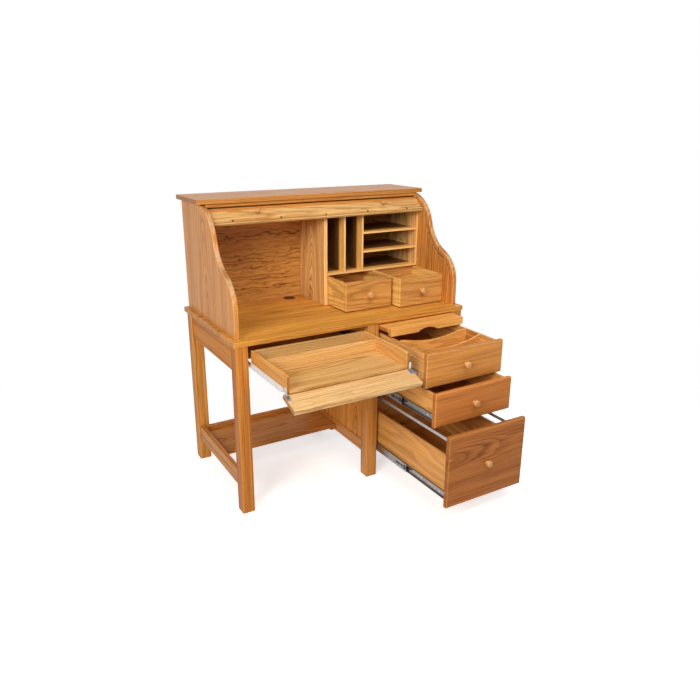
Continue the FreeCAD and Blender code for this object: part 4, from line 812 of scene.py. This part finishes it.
class DESK_OT_drawer_boards(bpy.types.Operator):
    """Finishes the drawers, their dividers and the writing board"""

    bl_idname = "desk.drawer_boards"
    bl_label = "Drawers and writing board"
    bl_options = {"REGISTER", "UNDO"}

    def execute(self, context):
        finish = context.scene.desk_finish
        honey = {"light": finish.honey_light, "dark": finish.honey_dark}
        red = {"light": finish.red_light, "dark": finish.red_dark}
        boxes = {**honey, "Heart Depth": 0.06, "Taper": 0.05, "Ring Width": 0.016, "Figure": 0.65,
                 "Streak": 0.8}
        # Painted light: the small drawers' sides are made much paler
        small = {**boxes, "Heart Depth": 0.03, "Ring Width": 0.011, "Figure": 0.85,
                 "flank": (1.38, 1.75, 1.9)}
        plain = {"Heart Across": 0.25, "Heart Depth": 0.03, "Taper": 0.02, "Ring Width": 0.007,
                 "Figure": 0.4, "Streak": 0.9, "end": 0.4}
        oak_nodes(finish, {
            "top_drawer_box": (BY_FACE, {**boxes, "tone": 1.25, "Figure": 1.1, "Streak": 1.1,
                                         "flank": (1.04, 1.12, 1.3)}),
            "top_drawer_front": (ALONG_X_FRONT, {**plain, "tone": 1.06}),
            "top_drawer_dividers": (BY_FACE, {**boxes, "tone": 1.35}),
            "middle_drawer_box": (BY_FACE, {**boxes, "tone": 1.12}),
            "middle_drawer_front": (ALONG_X_FRONT, {**plain, **red, "tone": 1.03, "gloss": 0.1}),
            "file_drawer_box": (BY_FACE, {**boxes, "tone": 1.12}),
            "file_drawer_front": (ALONG_X_FRONT, {**red, "Heart Depth": 0.05, "Heart Across": 0.05,
                                                  "Taper": 0.04, "Figure": 0.85, "Streak": 0.9, "tone": 0.74,
                                                  "end": 0.2, "gloss": 0.08}),
            "small_drawer_left_box": (BY_FACE, small),
            "small_drawer_right_box": (BY_FACE, small),
            "writing_board": (ALONG_X_FLAT, {**honey, "Stave Width": 0.12, "tone": 1.38}),
            "writing_board_front": (ALONG_X_FRONT, {**plain, **honey, "tone": 1.38}),
        })
        return {"FINISHED"}


class DESK_OT_tray_boards(bpy.types.Operator):
    """Finishes the keyboard tray, its pale fall front and the roll top"""

    bl_idname = "desk.tray_boards"
    bl_label = "Tray, fall front and roll top"
    bl_options = {"REGISTER", "UNDO"}

    def execute(self, context):
        finish = context.scene.desk_finish
        pale = {"light": finish.pale_light, "dark": finish.pale_dark}
        inside = {**pale, "Heart Across": 0.15, "Taper": 0.02, "Figure": 0.5, "gloss": 0.08}
        walls = {**inside, "light": finish.honey_light, "dark": finish.honey_dark, "tone": 1.13,
                 "flank": (0.95, 0.87, 0.82), "twin": ("X", (1.1, 1.32, 1.65))}
        oak_nodes(finish, {
            "tray_sides": (ALONG_Y_SIDE, walls),
            "tray_back": (ALONG_X_FRONT, {**inside, "tone": 0.8}),
            "tray_bottom": (ALONG_X_FLAT, {**pale, "Figure": 1.05, "Heart Depth": 0.05, "Taper": 0.05,
                                           "Streak": 1.1}),
            "pencil_divider": (ALONG_X_FRONT, {**inside, "tone": 1.08, "Figure": 0.8}),
            "fall_front": (ALONG_X_FLAT, {**pale, "light": finish.cream_light, "Heart Depth": 0.03,
                                          "Taper": 0.04, "Sway": 0.03, "Ring Width": 0.013,
                                          "Figure": 0.72, "Streak": 0.6, "tone": 1.06}),
            "tambour_lead_rail": (ALONG_X_FRONT, {**pale, "tone": 0.93, "Heart Across": 0.12, "Figure": 1.0,
                                                  "Streak": 1.1, "edge": 0.0}),
            "tambour_slats": (ALONG_X_FRONT, {"edge": 0.0}),
            "tambour_top_slats": (ALONG_X_FLAT, {"Stave Width": 0.02}),
            "tambour_rear_slats": (ALONG_X_FRONT, {"Stave Width": 0.02}),
        })
        return {"FINISHED"}


class DESK_OT_knobs(bpy.types.Operator):
    """Finishes the turned knobs"""

    bl_idname = "desk.knobs"
    bl_label = "Knobs"
    bl_options = {"REGISTER", "UNDO"}

    def execute(self, context):
        finish = context.scene.desk_finish
        turned_wood = {"light": finish.knob, "dark": darker(finish.knob, 0.7), "Ring Width": 0.002,
                       "Figure": 0.35, "edge": 0.0, "end": 0.15}
        knobs = [node for node in NODES if node.endswith("_knob") or node == "tambour_knobs"]
        # Painted shade: the knobs of the two lower drawers and of the lead rail are darkened for the shade
        # they sit in
        shaded = {"file_drawer_knob": 0.85, "middle_drawer_knob": 0.9, "tambour_knobs": 0.8}
        oak_nodes(finish, {node: (ALONG_Y_FLAT, {**turned_wood, "tone": shaded.get(node, 1.0)})
                           for node in knobs})
        return {"FINISHED"}


class DESK_OT_metal(bpy.types.Operator):
    """Finishes the slides, hanging rails, hinges, screws and grommet"""

    bl_idname = "desk.metal"
    bl_label = "Metal and plastic"
    bl_options = {"REGISTER", "UNDO"}

    def execute(self, context):
        finish = context.scene.desk_finish
        steel = surface("slide_steel", "Brushed metal", tuple(finish.steel), darker(finish.steel, 0.6),
                        metallic=1.0)
        bright = surface("bright_steel", "Brushed metal", darker(finish.steel, 2.2),
                         darker(finish.steel, 1.4), metallic=1.0)
        rails = surface("rail_steel", "Brushed metal", darker(finish.steel, 1.4), tuple(finish.steel),
                        metallic=0.8)
        enamel = surface("white_enamel", "Moulded surface", tuple(finish.enamel),
                         darker(finish.enamel, 0.86))
        screw_black_and_shade = surface("blackened_steel", "Moulded surface", tuple(finish.screw_black_and_shade),
                            darker(finish.screw_black_and_shade, 0.55))
        brown = surface("brown_plastic", "Moulded surface", tuple(finish.grommet),
                        darker(finish.grommet, 0.55), relief=0.15)
        for node in NODES:
            if "_slide_" in node or node == "slide_outers":
                dress(node, steel)
        dress("file_hanging_rails", rails)
        dress("tray_slide_inners", enamel)
        dress("tray_hinge_leaves", bright)
        dress("fall_front_hinge_leaves", steel)
        dress("tambour_rail_screws", screw_black_and_shade)
        dress("cable_grommet", brown)
        return {"FINISHED"}


class DESK_OT_slide_fittings(bpy.types.Operator):
    """Adds the levers, bumpers, painted shade of the slots and screws of the ball-bearing slides"""

    bl_idname = "desk.slide_fittings"
    bl_label = "Slide fittings"
    bl_options = {"REGISTER", "UNDO"}

    def execute(self, context):
        finish = context.scene.desk_finish
        sizes = context.scene.desk_fittings
        nylon = surface("black_nylon", "Moulded surface", tuple(finish.nylon), darker(finish.nylon, 1.5),
                        relief=0.15)
        for name in DRAWERS:
            self.add_levers(name, sizes, nylon)
            self.add_bumpers_and_slot_shade(name, sizes, nylon)
            self.add_screws(name, sizes, bpy.data.materials["bright_steel"])
        return {"FINISHED"}

    def add_levers(self, name, sizes, material):
        """One release lever in each drawer member's channel, where the middle member ends."""
        outline = bar_outline(sizes.lever_length, sizes.lever_tip, sizes.lever_root)
        inner_low, inner_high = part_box(f"{name}_drawer_slide_inners")
        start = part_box(f"{name}_drawer_slide_middles")[0].y - sizes.lever_length + 2 * sizes.lever_root
        height = (inner_low.z + inner_high.z) / 2 + sizes.lever_length * math.sin(sizes.lever_tilt) / 2
        mesh = bmesh.new()
        for web, outward in self.webs(name, sizes):
            add_plate(mesh, outline, (web, start, height), outward * sizes.lever_thick, -sizes.lever_tilt)
        finish_piece(mesh, f"{name}_drawer_slide_levers", material, f"{name}_drawer")

    def add_bumpers_and_slot_shade(self, name, sizes, material):
        """A black bumper at each middle member's front end and, past it, two black sheets that paint the
        shade seen through the member's slots.
        """
        low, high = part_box(f"{name}_drawer_slide_middles")
        bumper = sizes.bumper
        slot = 0.6 * bumper
        mesh = bmesh.new()

        # Start, length and radius of the bumper and of the painted slot shade behind it
        bars = ((bumper, 0.4 * bumper, bumper), (3.2 * bumper, 0.3 * bumper, slot),
                (5.0 * bumper, 2.0 * bumper, slot))
        for web, outward in ((low.x, -1.0), (high.x, 1.0)):
            for start, length, radius in bars:
                add_plate(mesh, bar_outline(length, radius, radius),
                          (web, low.y + start, (low.z + high.z) / 2), outward * sizes.slot_shade_thick, 0.0)
        finish_piece(mesh, f"{name}_drawer_slide_slots", material, f"{name}_slide_middle")

    def add_screws(self, name, sizes, material):
        """Pan-head screws along each drawer member."""
        low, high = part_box(f"{name}_drawer_slide_inners")
        mesh = bmesh.new()
        for web, outward in self.webs(name, sizes):
            place = low.y + sizes.screw_start
            while place < high.y - sizes.screw_start / 2:
                add_turned(mesh, screw_head(sizes.screw_radius, sizes.screw_height),
                           (web, place, (low.z + high.z) / 2), (outward, 0.0, 0.0))
                place += sizes.screw_step
        finish_piece(mesh, f"{name}_drawer_slide_screws", material, f"{name}_drawer")

    def webs(self, name, sizes):
        """Outer face of the left and right drawer members' webs, and which way it looks along X."""
        low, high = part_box(f"{name}_drawer_box")
        return ((low.x - sizes.sheet, -1.0), (high.x + sizes.sheet, 1.0))


class DESK_OT_hinge_screws(bpy.types.Operator):
    """Adds a screw to each hinge plate on the fall front"""

    bl_idname = "desk.hinge_screws"
    bl_label = "Hinge screws"
    bl_options = {"REGISTER", "UNDO"}

    def execute(self, context):
        sizes = context.scene.desk_fittings
        hinge = next(joint for joint in frame["joints"] if joint["name"] == "fall_front_hinge")

        # Closed, the fall front stands upright, so it droops by what its range has past a right angle
        tilt = math.radians(hinge["range_deg"][1] - 90.0)
        outward = Vector((0.0, -math.sin(tilt), math.cos(tilt)))
        along = Vector((0.0, -math.cos(tilt), -math.sin(tilt)))
        low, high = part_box("fall_front_hinge_leaves")
        mesh = bmesh.new()
        for across in (low.x + sizes.hinge_inset, high.x - sizes.hinge_inset):
            pin = Vector((across, hinge["pos_m"][1], hinge["pos_m"][2]))
            head = pin + sizes.hinge_reach * along - sizes.hinge_drop * outward
            add_turned(mesh, screw_head(sizes.hinge_screw, sizes.hinge_proud), head, outward)
        finish_piece(mesh, "fall_front_hinge_screws", bpy.data.materials["blackened_steel"], "fall_front")
        return {"FINISHED"}


class DESK_OT_stage(bpy.types.Operator):
    """Sets the camera, the pale floor, the background and the soft light"""

    bl_idname = "desk.stage"
    bl_label = "Studio"
    bl_options = {"REGISTER", "UNDO"}

    def execute(self, context):
        scene = context.scene
        stage = scene.desk_stage
        scene.view_settings.view_transform = "Standard"
        self.set_camera(scene, stage)
        self.set_world(scene, stage)
        self.lay_floor(scene, stage)
        for name in LAMPS:
            self.hang_lamp(scene, name, getattr(stage, f"{name}_power"))
        return {"FINISHED"}

    def set_camera(self, scene, stage):
        """Stands the camera at the photograph's viewing angle."""
        data = bpy.data.cameras.new("photo_camera")
        data.sensor_width = SENSOR_WIDTH
        data.lens = stage.lens
        data.shift_x = stage.shift_x
        data.shift_y = stage.shift_y
        camera = bpy.data.objects.new("photo_camera", data)
        camera.location = stage.camera_place
        camera.rotation_euler = (math.pi / 2 - stage.camera_pitch, 0.0, -stage.camera_yaw)
        scene.collection.objects.link(camera)
        scene.camera = camera

    def set_world(self, scene, stage):
        """Soft light from all round, seen as plain white."""
        world = bpy.data.worlds.new("studio")
        scene.world = world
        world.use_nodes = True
        world.node_tree.nodes.clear()
        wire = Wiring(world.node_tree)
        rays = wire.add("ShaderNodeLightPath").outputs
        seen = wire.math("MAXIMUM", rays["Is Camera Ray"], rays["Is Transmission Ray"])
        seen = wire.math("MAXIMUM", seen, rays["Is Glossy Ray"])
        soft = wire.add("ShaderNodeBackground", {"Color": WARM_WHITE, "Strength": stage.ambient})
        white = wire.add("ShaderNodeBackground", {"Color": WHITE, "Strength": 1.0})
        both = wire.add("ShaderNodeMixShader", {0: seen, 1: soft.outputs[0], 2: white.outputs[0]})
        wire.add("ShaderNodeOutputWorld", {"Surface": both.outputs[0]})

    def lay_floor(self, scene, stage):
        """A pale floor that keeps the desk's shadow and is plain white further off."""
        mesh = bpy.data.meshes.new("floor")
        half = stage.floor_size / 2
        mesh.from_pydata([(-half, -half, 0), (half, -half, 0), (half, half, 0), (-half, half, 0)], [],
                         [(0, 1, 2, 3)])
        floor = bpy.data.objects.new("floor", mesh)
        scene.collection.objects.link(floor)
        material = bpy.data.materials.new("floor_white")
        material.use_nodes = True
        material.node_tree.nodes.clear()
        wire = Wiring(material.node_tree)
        rays = wire.add("ShaderNodeLightPath").outputs
        seen = wire.math("MAXIMUM", rays["Is Camera Ray"], rays["Is Glossy Ray"])
        place = wire.add("ShaderNodeTexCoord").outputs["Object"]
        reach = wire.add("ShaderNodeVectorMath", {0: place}, operation="LENGTH").outputs["Value"]
        clear = wire.math("MULTIPLY", seen, wire.ramp(reach, stage.clear_near, stage.clear_far))
        matt = wire.add("ShaderNodeBsdfDiffuse", {"Color": darker(WHITE, stage.floor_tone)})
        lift = wire.add("ShaderNodeEmission", {"Color": WHITE,
                                               "Strength": wire.math("MULTIPLY", seen, stage.floor_lift)})
        shaded = wire.add("ShaderNodeAddShader", {0: matt.outputs[0], 1: lift.outputs[0]})
        white = wire.add("ShaderNodeEmission", {"Color": WHITE, "Strength": 1.0})
        both = wire.add("ShaderNodeMixShader", {0: clear, 1: shaded.outputs[0], 2: white.outputs[0]})
        wire.add("ShaderNodeOutputMaterial", {"Surface": both.outputs[0]})
        mesh.materials.append(material)

    def hang_lamp(self, scene, name, power):
        """One round lamp aimed at the desk."""
        place, width, mirrored = LAMPS[name]
        data = bpy.data.lights.new(name, "AREA")
        data.shape = "DISK"
        data.size = width
        data.energy = power
        lamp = bpy.data.objects.new(name, data)
        lamp.location = place
        lamp.rotation_euler = (Vector(LAMP_AIM) - Vector(place)).to_track_quat("-Z", "Y").to_euler()
        lamp.visible_glossy = mirrored
        scene.collection.objects.link(lamp)


STEPS = (DESK_OT_groups, DESK_OT_frame_boards, DESK_OT_gallery_boards, DESK_OT_drawer_boards,
         DESK_OT_tray_boards, DESK_OT_knobs, DESK_OT_metal, DESK_OT_slide_fittings, DESK_OT_hinge_screws,
         DESK_OT_stage)


class DESK_PT_panel(bpy.types.Panel):
    """Lists the desk's steps and settings"""

    bl_idname = "DESK_PT_panel"
    bl_label = "Roll-top desk"
    bl_space_type = "VIEW_3D"
    bl_region_type = "UI"
    bl_category = "Desk"

    def draw(self, context):
        for step in STEPS:
            self.layout.operator(step.bl_idname)
        scene = context.scene
        for settings in (scene.desk_finish, scene.desk_fittings, scene.desk_stage):
            for name in settings.__annotations__:
                self.layout.prop(settings, name)


CLASSES = (DeskFinish, DeskFittings, DeskStage, *STEPS, DESK_PT_panel)


def register():
    for item in CLASSES:
        bpy.utils.register_class(item)
    bpy.types.Scene.desk_finish = bpy.props.PointerProperty(type=DeskFinish)
    bpy.types.Scene.desk_fittings = bpy.props.PointerProperty(type=DeskFittings)
    bpy.types.Scene.desk_stage = bpy.props.PointerProperty(type=DeskStage)


def unregister():
    del bpy.types.Scene.desk_stage
    del bpy.types.Scene.desk_fittings
    del bpy.types.Scene.desk_finish
    for item in reversed(CLASSES):
        bpy.utils.unregister_class(item)


def main():
    register()
    for step in STEPS:
        group, name = step.bl_idname.split(".")
        getattr(getattr(bpy.ops, group), name)()


if __name__ == "__main__":
    main()
